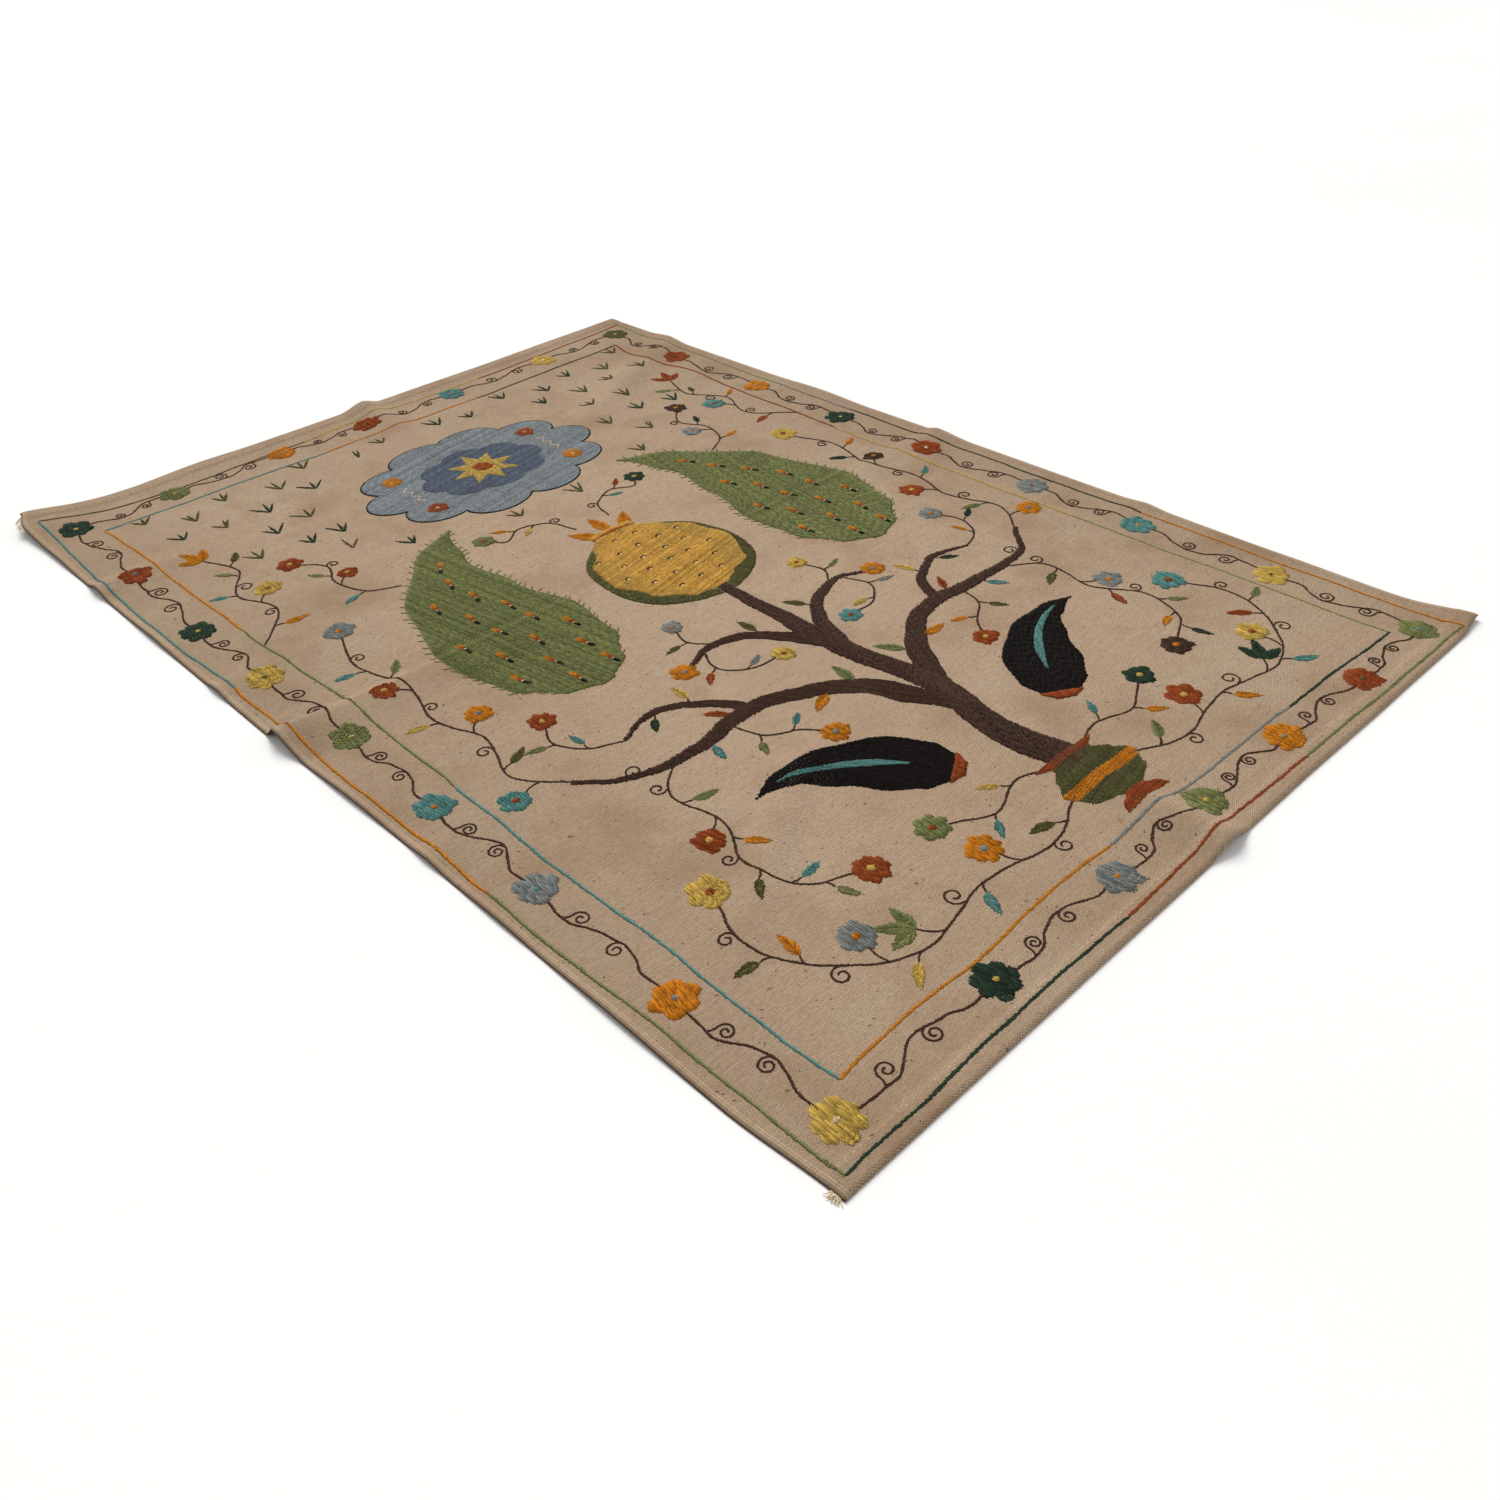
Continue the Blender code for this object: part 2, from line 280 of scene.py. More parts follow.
# %% [markdown]
# The ground is a weft-faced plain weave. Each weft passes over one warp and under the next, and its
# neighbour does the opposite, so the floats lie like bricks: 2.5 mm from warp to warp and 1.33 mm from row
# to row. That is far too fine for geometry on a whole rug, so the weave is bump and painted shade that
# darkens the pits between the floats. It is worked out with plain maths from a UV map that holds the flat
# plan, so the threads follow the cloth where its sides bow, and a little noise bends the rows as hand
# weaving does. Broad noise gives the pale and rosy patches of undyed wool, and long thin noise along the
# wefts gives single darker threads. Years on a floor left the margins a little darker than the middle. The
# rim, the side and the underside of each selvedge are darkened with painted shade.

# %% Material of the cloth
GROUND = colour_of(225, 198, 167)
GROUND_ROSY = colour_of(223, 193, 163)
GROUND_PALE = colour_of(232, 208, 177)
# Darker wool for single threads and grain, and also the colour of the painted shade in the pits of the weave.
GROUND_DARK_AND_PIT_SHADE = colour_of(126, 100, 80)
STAIN = colour_of(200, 170, 139)
SPECK = colour_of(96, 72, 56)
# The colour of the painted shade on the rim, the side and the underside of each selvedge.
EDGE_SHADE = colour_of(70, 52, 40)
MARGIN_SOIL = (0.80, 0.795, 0.775, 1.0)
WARP_PITCH = 0.0025
WEFT_PITCH = 0.00133
WEAVE_DEPTH = 0.0006
# How the threads bend. Columns: scale of the noise, size of the bend in threads.
WARP_BEND = (45.0, 1.1)
WEFT_BEND = (60.0, 1.8)
# Powers under 1 make each float, row and cord broad on top and narrow the pit beside it.
FLOAT_POWER = 0.6
ROW_POWER = 0.5
CORD_POWER = 0.4
SELVEDGE_CORD = 0.0032
# Where the cords give way to the plain weave, counted in cords from the selvedge.
CORDS_FADE = (3.3, 2.9)
# A cord keeps this share of the weave's relief.
CORD_WEAVE = 0.4
# Fine noise in the wool. Columns: scale, detail, roughness.
FIBRE = (1400.0, 2.0, 0.6)
GRAIN = (520.0, 2.0, 0.7)
FIBRE_RELIEF = 0.25
GRAIN_RELIEF = 0.3
# The grain darkens where it is low. Only the highest tones of the floats show, because of the power.
GRAIN_SPAN = (0.66, 0.34)
TONE_POWER = 1.6
# Layers of noise in the colour. Columns: scale, detail, roughness, where a layer starts, where it is full.
PALE_PATCHES = (3.2, 3.0, 0.5, 0.34, 0.66)
SMALL_PATCHES = (14.0, 3.0, 0.5, 0.42, 0.72)
DARK_THREADS = (1.0, 2.0, 0.7, 0.30, 0.75)
THREAD_STRETCH = (5.0, 260.0, 1.0)
STAINS = (5.5, 4.0, 0.6, 0.50, 0.66)
SPECKS = (160.0, 1.0, 0.5, 0.735, 0.76)
# The most that each of these takes of its dark colour.
THREAD_SHARE = 0.22
GRAIN_SHARE = 0.12
TONE_SHARE = 0.30
# The pits between the floats and the cords are painted shade: the share of the dark colour at the bottom of a
# pit.
PIT_SHADE_SHARE = 0.74
SPECK_SHARE = 0.75
# The short ends are a little cleaner than the sides.
END_SOIL = 0.86
SOIL_POWER = 2.5
PLAN_MAP = "plan"
EDGE_SHADE_ATTRIBUTE = "painted_edge_shade"


def cord_share(tree, inwards, woven):
    """The height of the cords of doubled warps that run along each selvedge."""
    turn = times(tree, maths(tree, "DIVIDE", inwards, SELVEDGE_CORD), math.pi)
    cords = maths(tree, "POWER", maths(tree, "ABSOLUTE", maths(tree, "SINE", turn)), CORD_POWER)
    return times(tree, cords, plus(tree, times(tree, woven, CORD_WEAVE), 1.0 - CORD_WEAVE))


def weave(tree, place, plan):
    """The height of the floats, 1 on top and 0 in the pit between two, and a random tone for each."""
    axes = node(tree, "ShaderNodeSeparateXYZ", {0: plan})
    bends = [times(tree, noise(tree, place, scale), size) for scale, size in (WARP_BEND, WEFT_BEND)]
    warp = plus(tree, maths(tree, "DIVIDE", axes.outputs["X"], WARP_PITCH), bends[0])
    weft = plus(tree, maths(tree, "DIVIDE", axes.outputs["Y"], WEFT_PITCH), bends[1])
    row = maths(tree, "FLOOR", weft)
    float_wave = maths(tree, "COSINE", times(tree, plus(tree, warp, row), math.pi))
    float_share = plus(tree, times(tree, float_wave, 0.5), 0.5)
    row_wave = maths(tree, "SINE", times(tree, maths(tree, "FRACT", weft), math.pi))
    round_float = maths(tree, "POWER", float_share, FLOAT_POWER)
    woven = times(tree, round_float, maths(tree, "POWER", row_wave, ROW_POWER))
    inwards = maths(tree, "SUBTRACT", 0.5 * WIDTH, maths(tree, "ABSOLUTE", axes.outputs["X"]))
    near_edge = ramp(tree, inwards, CORDS_FADE[0] * SELVEDGE_CORD, CORDS_FADE[1] * SELVEDGE_CORD)
    sockets = {0: near_edge, 2: woven, 3: cord_share(tree, inwards, woven)}
    height = node(tree, "ShaderNodeMix", sockets, data_type="FLOAT").outputs[0]
    float_number = maths(tree, "ROUND", times(tree, plus(tree, warp, row), 0.5))
    float_place = node(tree, "ShaderNodeCombineXYZ", {0: float_number, 1: row}).outputs[0]
    return height, node(tree, "ShaderNodeTexWhiteNoise", {"Vector": float_place}).outputs["Value"]


def margin_share(tree, plan):
    """1 at the rug's sides, falling smoothly to 0 in its middle."""
    axes = node(tree, "ShaderNodeSeparateXYZ", {0: plan})
    across = times(tree, maths(tree, "ABSOLUTE", axes.outputs["X"]), 2.0 / WIDTH)
    along = times(tree, maths(tree, "ABSOLUTE", axes.outputs["Y"]), 2.0 * END_SOIL / LENGTH)
    return maths(tree, "POWER", maths(tree, "MAXIMUM", across, along), SOIL_POWER)


def ground_colour(tree, place, plan):
    """Undyed wool with paler patches, darker threads and stains."""
    patches = blend_colours(tree, layer(tree, place, *PALE_PATCHES), GROUND_ROSY, GROUND_PALE)
    small = blend_colours(tree, layer(tree, place, *SMALL_PATCHES), patches, GROUND)
    stretched = node(tree, "ShaderNodeMapping", {"Vector": plan, "Scale": THREAD_STRETCH}).outputs[0]
    threads = times(tree, layer(tree, stretched, *DARK_THREADS), THREAD_SHARE)
    streaked = blend_colours(tree, threads, small, GROUND_DARK_AND_PIT_SHADE)
    return blend_colours(tree, layer(tree, place, *STAINS), streaked, STAIN)


def cloth_material():
    made, tree, shader = wool_shader("undyed wool plain weave", roughness=0.95)
    place = node(tree, "ShaderNodeTexCoord").outputs["Object"]
    plan = node(tree, "ShaderNodeUVMap", uv_map=PLAN_MAP).outputs[0]
    height, tone = weave(tree, place, plan)
    grain = noise(tree, place, *GRAIN)
    dark_grain = times(tree, ramp(tree, grain, *GRAIN_SPAN), GRAIN_SHARE)
    mixed_yarn = plus(tree, dark_grain, times(tree, maths(tree, "POWER", tone, TONE_POWER), TONE_SHARE))
    spun = blend_colours(tree, mixed_yarn, ground_colour(tree, place, plan), GROUND_DARK_AND_PIT_SHADE)
    # Painted shade in the pits between the floats.
    pit_shade = times(tree, maths(tree, "SUBTRACT", 1.0, height), PIT_SHADE_SHARE)
    woven = blend_colours(tree, pit_shade, spun, GROUND_DARK_AND_PIT_SHADE)
    flecked = blend_colours(tree, times(tree, layer(tree, place, *SPECKS), SPECK_SHARE), woven, SPECK)
    soiled = blend_colours(tree, margin_share(tree, plan), flecked, MARGIN_SOIL, "MULTIPLY")
    # Painted shade on each selvedge's rim, side and underside.
    edge_shade_share = node(tree, "ShaderNodeAttribute", attribute_name=EDGE_SHADE_ATTRIBUTE).outputs["Fac"]
    tree.links.new(blend_colours(tree, edge_shade_share, soiled, EDGE_SHADE), shader.inputs["Base Color"])
    relief = plus(tree, height, times(tree, noise(tree, place, *FIBRE), FIBRE_RELIEF))
    relief = plus(tree, relief, times(tree, grain, GRAIN_RELIEF))
    bumpy(tree, shader, relief, 1.0, WEAVE_DEPTH)
    return made


cloth_wool = cloth_material()
print("weave:", WARP_PITCH, "by", WEFT_PITCH)

# %% [markdown]
# Every stitch carries its own colour in an attribute, so one yarn material serves all the dyed wools. Each
# strand has a UV map: U runs along it and V round it, both counted in yarn widths. A wave that climbs
# slantwise in that map is the twist of the two plies. Its grooves between the plies darken the dye as
# painted shade, mixed with fine noise that breaks up the dye.

# %% Material of the embroidery yarn
YARN_ATTRIBUTE = "yarn_colour"
STRAND_MAP = "strand"
PLY_SLANT = 0.7
# Painted shade in the grooves between the plies: its factor on the dye, the weight of the ply wave against
# the fibre noise, and the span over which the two turn the dye dark.
PLY_SHADE = (0.72, 0.70, 0.69, 1.0)
PLY_MOTTLE = 0.35
MOTTLE_SPAN = (0.25, 0.95)
YARN_FIBRE = (1700.0, 2.0, 0.6)
YARN_FIBRE_RELIEF = 0.6
YARN_RELIEF = 0.0002


def yarn_material():
    made, tree, shader = wool_shader("dyed embroidery wool")
    dye = node(tree, "ShaderNodeAttribute", attribute_name=YARN_ATTRIBUTE).outputs["Color"]
    place = node(tree, "ShaderNodeTexCoord").outputs["Object"]
    strand = node(tree, "ShaderNodeUVMap", uv_map=STRAND_MAP).outputs[0]
    axes = node(tree, "ShaderNodeSeparateXYZ", {0: strand})
    phase = plus(tree, times(tree, axes.outputs["X"], PLY_SLANT), axes.outputs["Y"])
    ply = maths(tree, "SINE", times(tree, phase, 2.0 * math.pi))
    ply_share = plus(tree, times(tree, ply, 0.5), 0.5)
    fibre = noise(tree, place, *YARN_FIBRE)
    # The dye under painted shade, for the grooves between the plies.
    dark = blend_colours(tree, 1.0, dye, PLY_SHADE, "MULTIPLY")
    ply_shade_and_mottle = ramp(tree, plus(tree, times(tree, ply_share, PLY_MOTTLE), fibre), *MOTTLE_SPAN)
    tree.links.new(blend_colours(tree, ply_shade_and_mottle, dark, dye), shader.inputs["Base Color"])
    bumpy(tree, shader, plus(tree, ply_share, times(tree, fibre, YARN_FIBRE_RELIEF)), 0.5, YARN_RELIEF)
    return made


yarn_wool = yarn_material()

# The dyes. Columns: name, colour on a screen.
DYES = {
    "rust": (151, 73, 33),
    "gold": (197, 124, 28),
    "pale yellow": (197, 166, 82),
    "yellow": (214, 168, 82),
    "teal": (91, 138, 133),
    "light blue": (133, 137, 133),
    "blue": (143, 150, 153),
    "dark blue": (100, 110, 125),
    "green": (123, 128, 79),
    "light green": (148, 153, 93),
    "dark green": (45, 63, 48),
    "olive": (90, 88, 51),
    "black": (25, 21, 19),
    "brown": (75, 53, 42),
    "cream": (234, 209, 172),
}
DYES_LINEAR = {name: np.array(colour_of(*shown)[:3]) for name, shown in DYES.items()}
print("dyes:", len(DYES))

# %% [markdown]
# The cloth is a thin sheet with two faces and a rounded rim. It starts as a flat grid whose lines lie
# closer at the hems and along the two storage folds, where the shape changes quickly. The solidify operator
# gives it its under side and bevel rounds the rim. Then all its points move at once to the heights that the
# functions give.

# %% The cloth
# Columns: where a strip of the grid starts, its number of cells. The last row ends the table.
STRIPS_ACROSS = (
    (-0.5 * WIDTH, 5), (-0.5 * WIDTH + 0.020, 64), (-0.070, 26), (0.060, 65), (0.5 * WIDTH - 0.020, 5),
    (0.5 * WIDTH, 0),
)
STRIPS_ALONG = (
    (-0.5 * LENGTH, 11), (-0.5 * LENGTH + 0.044, 94), (-0.070, 28), (0.080, 96), (0.5 * LENGTH - 0.044, 11),
    (0.5 * LENGTH, 0),
)
RIM_ROUND = 0.0009
# Painted shade on the rim of a selvedge: its share of the dark colour, and how far that reaches inwards.
RIM_SHADE = 0.9
RIM_SHADE_WIDTH = 0.0038
# Painted shade on the side and the underside of a selvedge. Both rows: where the dark starts to fade, over
# how much it fades.
DARK_UPWARDS = (0.35, 0.5)
DARK_INWARDS = (0.002, 0.020)


def grid_lines(strips):
    lines = []
    for (start, cells), (end, _) in zip(strips, strips[1:]):
        lines += [start + (end - start) * i / cells for i in range(cells)]
    return np.array(lines + [strips[-1][0]])


def finish_piece(name, mesh, material):
    """Moves a mesh from the rug's plan to the part's frame, and makes it a piece of the rug's body."""
    mesh.transform(Matrix.Translation(PLAN_SHIFT))
    mesh.materials.append(material)
    piece = bpy.data.objects.new(name, mesh)
    bpy.context.scene.collection.objects.link(piece)
    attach(piece, "root")
    print(name, "faces:", len(mesh.polygons))
    return piece


def flat_sheet():
    """The cloth as it was woven: a closed flat sheet with a rounded rim."""
    across, along = grid_lines(STRIPS_ACROSS), grid_lines(STRIPS_ALONG)
    columns, rows = len(across) - 1, len(along) - 1
    bm = bmesh.new()
    bmesh.ops.create_grid(bm, x_segments=columns, y_segments=rows, size=0.5)
    for vert in bm.verts:
        column, row = round((vert.co.x + 0.5) * columns), round((vert.co.y + 0.5) * rows)
        vert.co = (across[column], along[row], 0.0)
    bmesh.ops.solidify(bm, geom=bm.faces[:], thickness=CLOTH_THICK)
    bmesh.ops.recalc_face_normals(bm, faces=bm.faces[:])
    rim = [edge for edge in bm.edges if edge.calc_face_angle(0.0) > math.radians(60.0)]
    bmesh.ops.bevel(bm, geom=rim, offset=RIM_ROUND, segments=2, profile=0.5, affect="EDGES", material=-1)
    mesh = bpy.data.meshes.new("kilim_sheet")
    bm.to_mesh(mesh)
    bm.free()
    return mesh


def map_plan(mesh, points):
    """Keeps the flat plan as a UV map, so that the weave follows the cloth when it is laid."""
    corners = np.empty(len(mesh.loops), dtype=np.int32)
    mesh.loops.foreach_get("vertex_index", corners)
    mesh.uv_layers.new(name=PLAN_MAP).uv.foreach_set("vector", points[corners, :2].ravel())


# Painted shade: each selvedge's rim, its side and the underside near it take a share of the dark colour.
def paint_edge_shade(mesh, points, share_up):
    from_selvedge = 0.5 * WIDTH - np.abs(points[:, 0])
    upwards = 1.0 - smooth((share_up - DARK_UPWARDS[0]) / DARK_UPWARDS[1])
    inwards = 1.0 - smooth((from_selvedge - DARK_INWARDS[0]) / DARK_INWARDS[1])
    rim = RIM_SHADE * (1.0 - smooth(from_selvedge / RIM_SHADE_WIDTH))
    painted_edge_shade = np.maximum(upwards * inwards, rim)
    mesh.attributes.new(EDGE_SHADE_ATTRIBUTE, "FLOAT", "POINT").data.foreach_set("value", painted_edge_shade)


def make_cloth():
    mesh = flat_sheet()
    points = np.empty(len(mesh.vertices) * 3)
    mesh.vertices.foreach_get("co", points)
    points = points.reshape(-1, 3)
    share_up = (points[:, 2] - points[:, 2].min()) / np.ptp(points[:, 2])
    map_plan(mesh, points)
    paint_edge_shade(mesh, points, share_up)
    x, y = bowed(points[:, 0], points[:, 1])
    low = floor_gap(x, y)
    points = np.stack([x, y, low + share_up * (top_height(x, y) - low)], axis=1)
    mesh.vertices.foreach_set("co", points.ravel())
    mesh.shade_smooth()
    cloth = finish_piece("kilim_sheet", mesh, cloth_wool)
    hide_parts("kilim_cloth")
    return cloth


cloth = make_cloth()

# %% [markdown]
# One embroidery stitch is a short strand that comes up out of the cloth, lies on it and goes down again. It
# is modelled once: a three-sided rod from the cone operator, with its ends poked into tips. More than fifty
# thousand copies of it as objects would be slow, so its points become an array, and one array sum lays all
# the stitches of a motif along their own lines on the cloth, in one joined mesh.

# %% One stitch as a pattern
# Shares of the rod's length and height.
TIP_LENGTH = 0.15
TIP_HEIGHT = 0.15


def stitch_pattern():
    """The points of one stitch, which lies along Z, and its faces, from bmesh operators."""
    bm = bmesh.new()
    bmesh.ops.create_cone(bm, cap_ends=True, segments=3, radius1=0.5, radius2=0.5, depth=1.0)
    bm.normal_update()
    caps = [face for face in bm.faces if abs(face.normal.z) > 0.9]
    bmesh.ops.poke(bm, faces=caps, offset=TIP_LENGTH)
    bmesh.ops.recalc_face_normals(bm, faces=bm.faces[:])
    bm.verts.ensure_lookup_table()
    points = np.array([vert.co[:] for vert in bm.verts])
    faces = [[vert.index for vert in face.verts] for face in bm.faces]
    bm.free()
    return points, faces


PATTERN, PATTERN_FACES = stitch_pattern()
IS_TIP = np.abs(PATTERN[:, 2]) > 0.55
# The triangle of the rod stands on one side, and its third corner points up.
TURN = -math.atan2(PATTERN[~IS_TIP][0][0], PATTERN[~IS_TIP][0][1])
SIDEWAYS = PATTERN[:, 0] * math.cos(TURN) + PATTERN[:, 1] * math.sin(TURN)
UPWARDS = PATTERN[:, 1] * math.cos(TURN) - PATTERN[:, 0] * math.sin(TURN)
SIDEWAYS = SIDEWAYS / np.ptp(SIDEWAYS)
UPWARDS = (UPWARDS - UPWARDS.min()) / np.ptp(UPWARDS)
UPWARDS[IS_TIP] = TIP_HEIGHT
FAR_END = PATTERN[:, 2] > 0.0
print("points of one stitch:", len(PATTERN), "faces:", len(PATTERN_FACES))

# %% Lay all the stitches of a motif
STITCH_SINK = 0.00012
SHOULDER = 0.0009
SHADE_SPREAD = 0.10
BEND_LIMIT = 0.00007


def split_at_folds(flat, rest):
    """Halves every stitch that would cut through a crest or span a hollow. Shorter ones lie on the cloth."""
    for _ in range(4):
        start, end = flat[:, 0:2], flat[:, 2:4]
        middle = 0.5 * (start + end)
        heights = [sewn_height(spot[:, 0], spot[:, 1]) for spot in (start, middle, end)]
        bent = np.abs(heights[1] - 0.5 * (heights[0] + heights[2])) > BEND_LIMIT
        halves = [np.hstack([start[bent], middle[bent]]), np.hstack([middle[bent], end[bent]])]
        flat = np.concatenate([flat[~bent], *halves])
        rest = np.concatenate([rest[~bent], rest[bent], rest[bent]])
    return flat, rest


def upright(spots, along):
    """For each stitch, the direction away from the cloth that is square to the stitch."""
    slope_x, slope_y = slopes(spots[:, 0], spots[:, 1])
    normal = np.column_stack([-slope_x, -slope_y, np.ones(len(spots))])
    normal -= along * np.sum(normal * along, axis=1, keepdims=True)
    return normal / np.linalg.norm(normal, axis=1, keepdims=True)


def stitch_points(start, end, width, height, lift):
    """The points of every stitch, and how far along its stitch each of them is."""
    first, last = (
        np.column_stack([spots, sewn_height(spots[:, 0], spots[:, 1]) + lift - STITCH_SINK])
        for spots in (start, end)
    )
    length = np.linalg.norm(last - first, axis=1, keepdims=True)
    along = (last - first) / length
    normal = upright(0.5 * (start + end), along)
    side = np.cross(normal, along)
    inset = np.where(IS_TIP, 0.0, 1.0)[None, :] * np.minimum(SHOULDER, 0.3 * length)
    reach = np.where(FAR_END[None, :], length - inset, inset)
    points = (
        first[:, None, :]
        + along[:, None, :] * reach[:, :, None]
        + side[:, None, :] * (SIDEWAYS[None, :] * width[:, None])[:, :, None]
        + normal[:, None, :] * (UPWARDS[None, :] * (height + STITCH_SINK)[:, None])[:, :, None]
    )
    return points, reach


def joined_stitches(name, points):
    """One mesh of all the stitches, and the point that each corner of its faces uses."""
    count, size = points.shape[:2]
    corners = np.concatenate([np.array(face) for face in PATTERN_FACES])
    sizes = np.array([len(face) for face in PATTERN_FACES])
    loops = (corners[None, :] + size * np.arange(count)[:, None]).ravel()
    starts = np.concatenate([[0], np.cumsum(np.tile(sizes, count))[:-1]])
    mesh = bpy.data.meshes.new(name)
    mesh.vertices.add(count * size)
    mesh.vertices.foreach_set("co", points.ravel())
    mesh.loops.add(len(loops))
    mesh.loops.foreach_set("vertex_index", loops.astype(np.int32))
    mesh.polygons.add(len(starts))
    mesh.polygons.foreach_set("loop_start", starts.astype(np.int32))
    mesh.update(calc_edges=True)
    mesh.validate()
    mesh.shade_smooth()
    return mesh, loops


def sew(name, stitches, seed):
    """Joins stitches into one piece. A stitch is (x, y, end x, end y, width, height, lift, dye, tone)."""
    shades = np.random.default_rng(seed).normal(1.0, SHADE_SPREAD, len(stitches))
    shades *= [stitch[8] for stitch in stitches]
    dyes = np.array([DYES_LINEAR[stitch[7]] for stitch in stitches]) * np.clip(shades, 0.65, 1.4)[:, None]
    flat, rest = split_at_folds(
        np.array([stitch[:4] for stitch in stitches]),
        np.column_stack([[stitch[4:7] for stitch in stitches], dyes]),
    )
    width, height, lift = rest[:, 0], rest[:, 1], rest[:, 2]
    points, reach = stitch_points(flat[:, 0:2], flat[:, 2:4], width, height, lift)
    mesh, loops = joined_stitches(name, points)
    u = (reach / width[:, None]).ravel()[loops]
    v = np.tile(np.arctan2(UPWARDS - 0.4, SIDEWAYS) / (2.0 * math.pi), len(flat))[loops]
    mesh.uv_layers.new(name=STRAND_MAP).uv.foreach_set("vector", np.column_stack([u, v]).ravel())
    colours = np.repeat(np.column_stack([rest[:, 3:6], np.ones(len(flat))]), len(PATTERN), axis=0)
    attribute = mesh.attributes.new(YARN_ATTRIBUTE, "FLOAT_COLOR", "POINT")
    attribute.data.foreach_set("color", colours.ravel())
    finish_piece(name, mesh, yarn_wool)


# %% [markdown]
# Two kinds of needlework cover everything on the rug. Lines are stem stitch: each stitch starts beside the
# middle of the last one, a little slantwise, so the line looks like a cord. Filled shapes are long and
# short stitch: rows of parallel strands that break at uneven places, with ragged ends along the outline and
# a tone of its own for each row. Both only collect stitches in a list. The random numbers come from one
# seeded source, so each run sews the same rug.

# %% Stem stitch and long and short stitch
hand = random.Random(23)
FILL_PITCH = 0.00155
FILL_LENGTH = 0.018
FILL_HEIGHT = 0.00115
ROW_TONES = (0.74, 0.82, 1.06, 1.10, 1.14)
STITCH_OVERLAP = 0.0016
SHORTEST_STITCH = 0.0015
# Counted in the pitch of the rows: the width of a strand, and how far its ends stray from its row.
STRAND_WIDTH = 1.48
STRAND_SWAY = 0.12
# The lift of needlework that lies on other needlework.
ON_STITCHES = 0.0006


def distances_along(path):
    steps = np.linalg.norm(np.diff(path, axis=0), axis=1)
    return np.concatenate([[0.0], np.cumsum(steps)])


def curve_through(points, step=0.002):
    """A smooth path through a few points, as a dense list of points."""
    points = [np.array(point, dtype=float) for point in points]
    guides = [2 * points[0] - points[1], *points, 2 * points[-1] - points[-2]]
    path = []
    for before, start, end, after in zip(guides, guides[1:], guides[2:], guides[3:]):
        count = max(2, int(np.linalg.norm(end - start) / step))
        for share in np.arange(count) / count:
            pull_start, pull_end = 0.5 * (end - before), 0.5 * (after - start)
            square, cube = share**2, share**3
            path.append(
                (2 * cube - 3 * square + 1) * start + (cube - 2 * square + share) * pull_start
                + (3 * square - 2 * cube) * end + (cube - square) * pull_end
            )
    return np.array(path + [points[-1]])


def stem_stitch(path, dye, width=0.0029, length=0.0062, step=0.0030, height=0.0012, slant=0.42, lift=0.0):
    """A line of overlapping stitches along a dense path."""
    path = np.asarray(path)
    travelled = distances_along(path)
    total = travelled[-1]
    made = []
    at = 0.0
    while at < total - 0.3 * length:
        end = min(total, at + length * hand.uniform(0.9, 1.1))
        x0, y0 = (float(np.interp(at, travelled, path[:, i])) for i in (0, 1))
        x1, y1 = (float(np.interp(end, travelled, path[:, i])) for i in (0, 1))
        run = max(1e-6, math.hypot(x1 - x0, y1 - y0))
        aside = slant * width * hand.uniform(0.3, 1.6)
        off_x, off_y = -(y1 - y0) / run * aside, (x1 - x0) / run * aside
        thick = width * hand.uniform(0.82, 1.20)
        made.append((x0 + off_x, y0 + off_y, x1 - off_x, y1 - off_y, thick, height, lift, dye, 1.0))
        at += step * hand.uniform(0.9, 1.1)
    return made


def long_and_short(outline, dye, angle=90.0, pitch=FILL_PITCH, length=FILL_LENGTH, lift=0.0, ragged=0.0017):
    """Fills a closed outline with rows of strands at an angle to the X axis."""
    outline = np.asarray(outline, dtype=float)
    turn = math.radians(angle)
    way, across = np.array([math.cos(turn), math.sin(turn)]), np.array([-math.sin(turn), math.cos(turn)])
    run, height = outline @ way, outline @ across
    next_run, next_height = np.roll(run, -1), np.roll(height, -1)
    made = []
    row = height.min() + 0.5 * pitch
    while row < height.max():
        tone = hand.choice(ROW_TONES)
        crosses = (height > row) != (next_height > row)
        share = (row - height[crosses]) / (next_height[crosses] - height[crosses])
        ends = np.sort(run[crosses] + share * (next_run[crosses] - run[crosses]))
        for start, end in zip(ends[::2], ends[1::2]):
            start += hand.uniform(-ragged, 0.6 * ragged)
            end += hand.uniform(-0.6 * ragged, ragged)
            if end - start < SHORTEST_STITCH:
                continue
            at = start
            piece = length * hand.uniform(0.35, 1.0)
            while at < end:
                stop = end if end - at - piece < 0.35 * length else at + piece
                sway = [row + hand.uniform(-STRAND_SWAY, STRAND_SWAY) * pitch for _ in range(2)]
                first = way * (at - STITCH_OVERLAP * (at > start)) + across * sway[0]
                last = way * (stop + STITCH_OVERLAP * (stop < end)) + across * sway[1]
                thick = STRAND_WIDTH * pitch * hand.uniform(0.9, 1.1)
                made.append((*first, *last, thick, FILL_HEIGHT, lift, dye, tone))
                at, piece = stop, length * hand.uniform(0.75, 1.2)
        row += pitch * hand.uniform(0.93, 1.07)
    return made


# %% [markdown]
# The border frames the field with two thin lines. A hand-drawn line wanders, and the thread ran out on the
# way, so each line changes colour several times round the rug. The lines pass through a few measured
# points, and a slow wave with a small shake between them gives the wander.

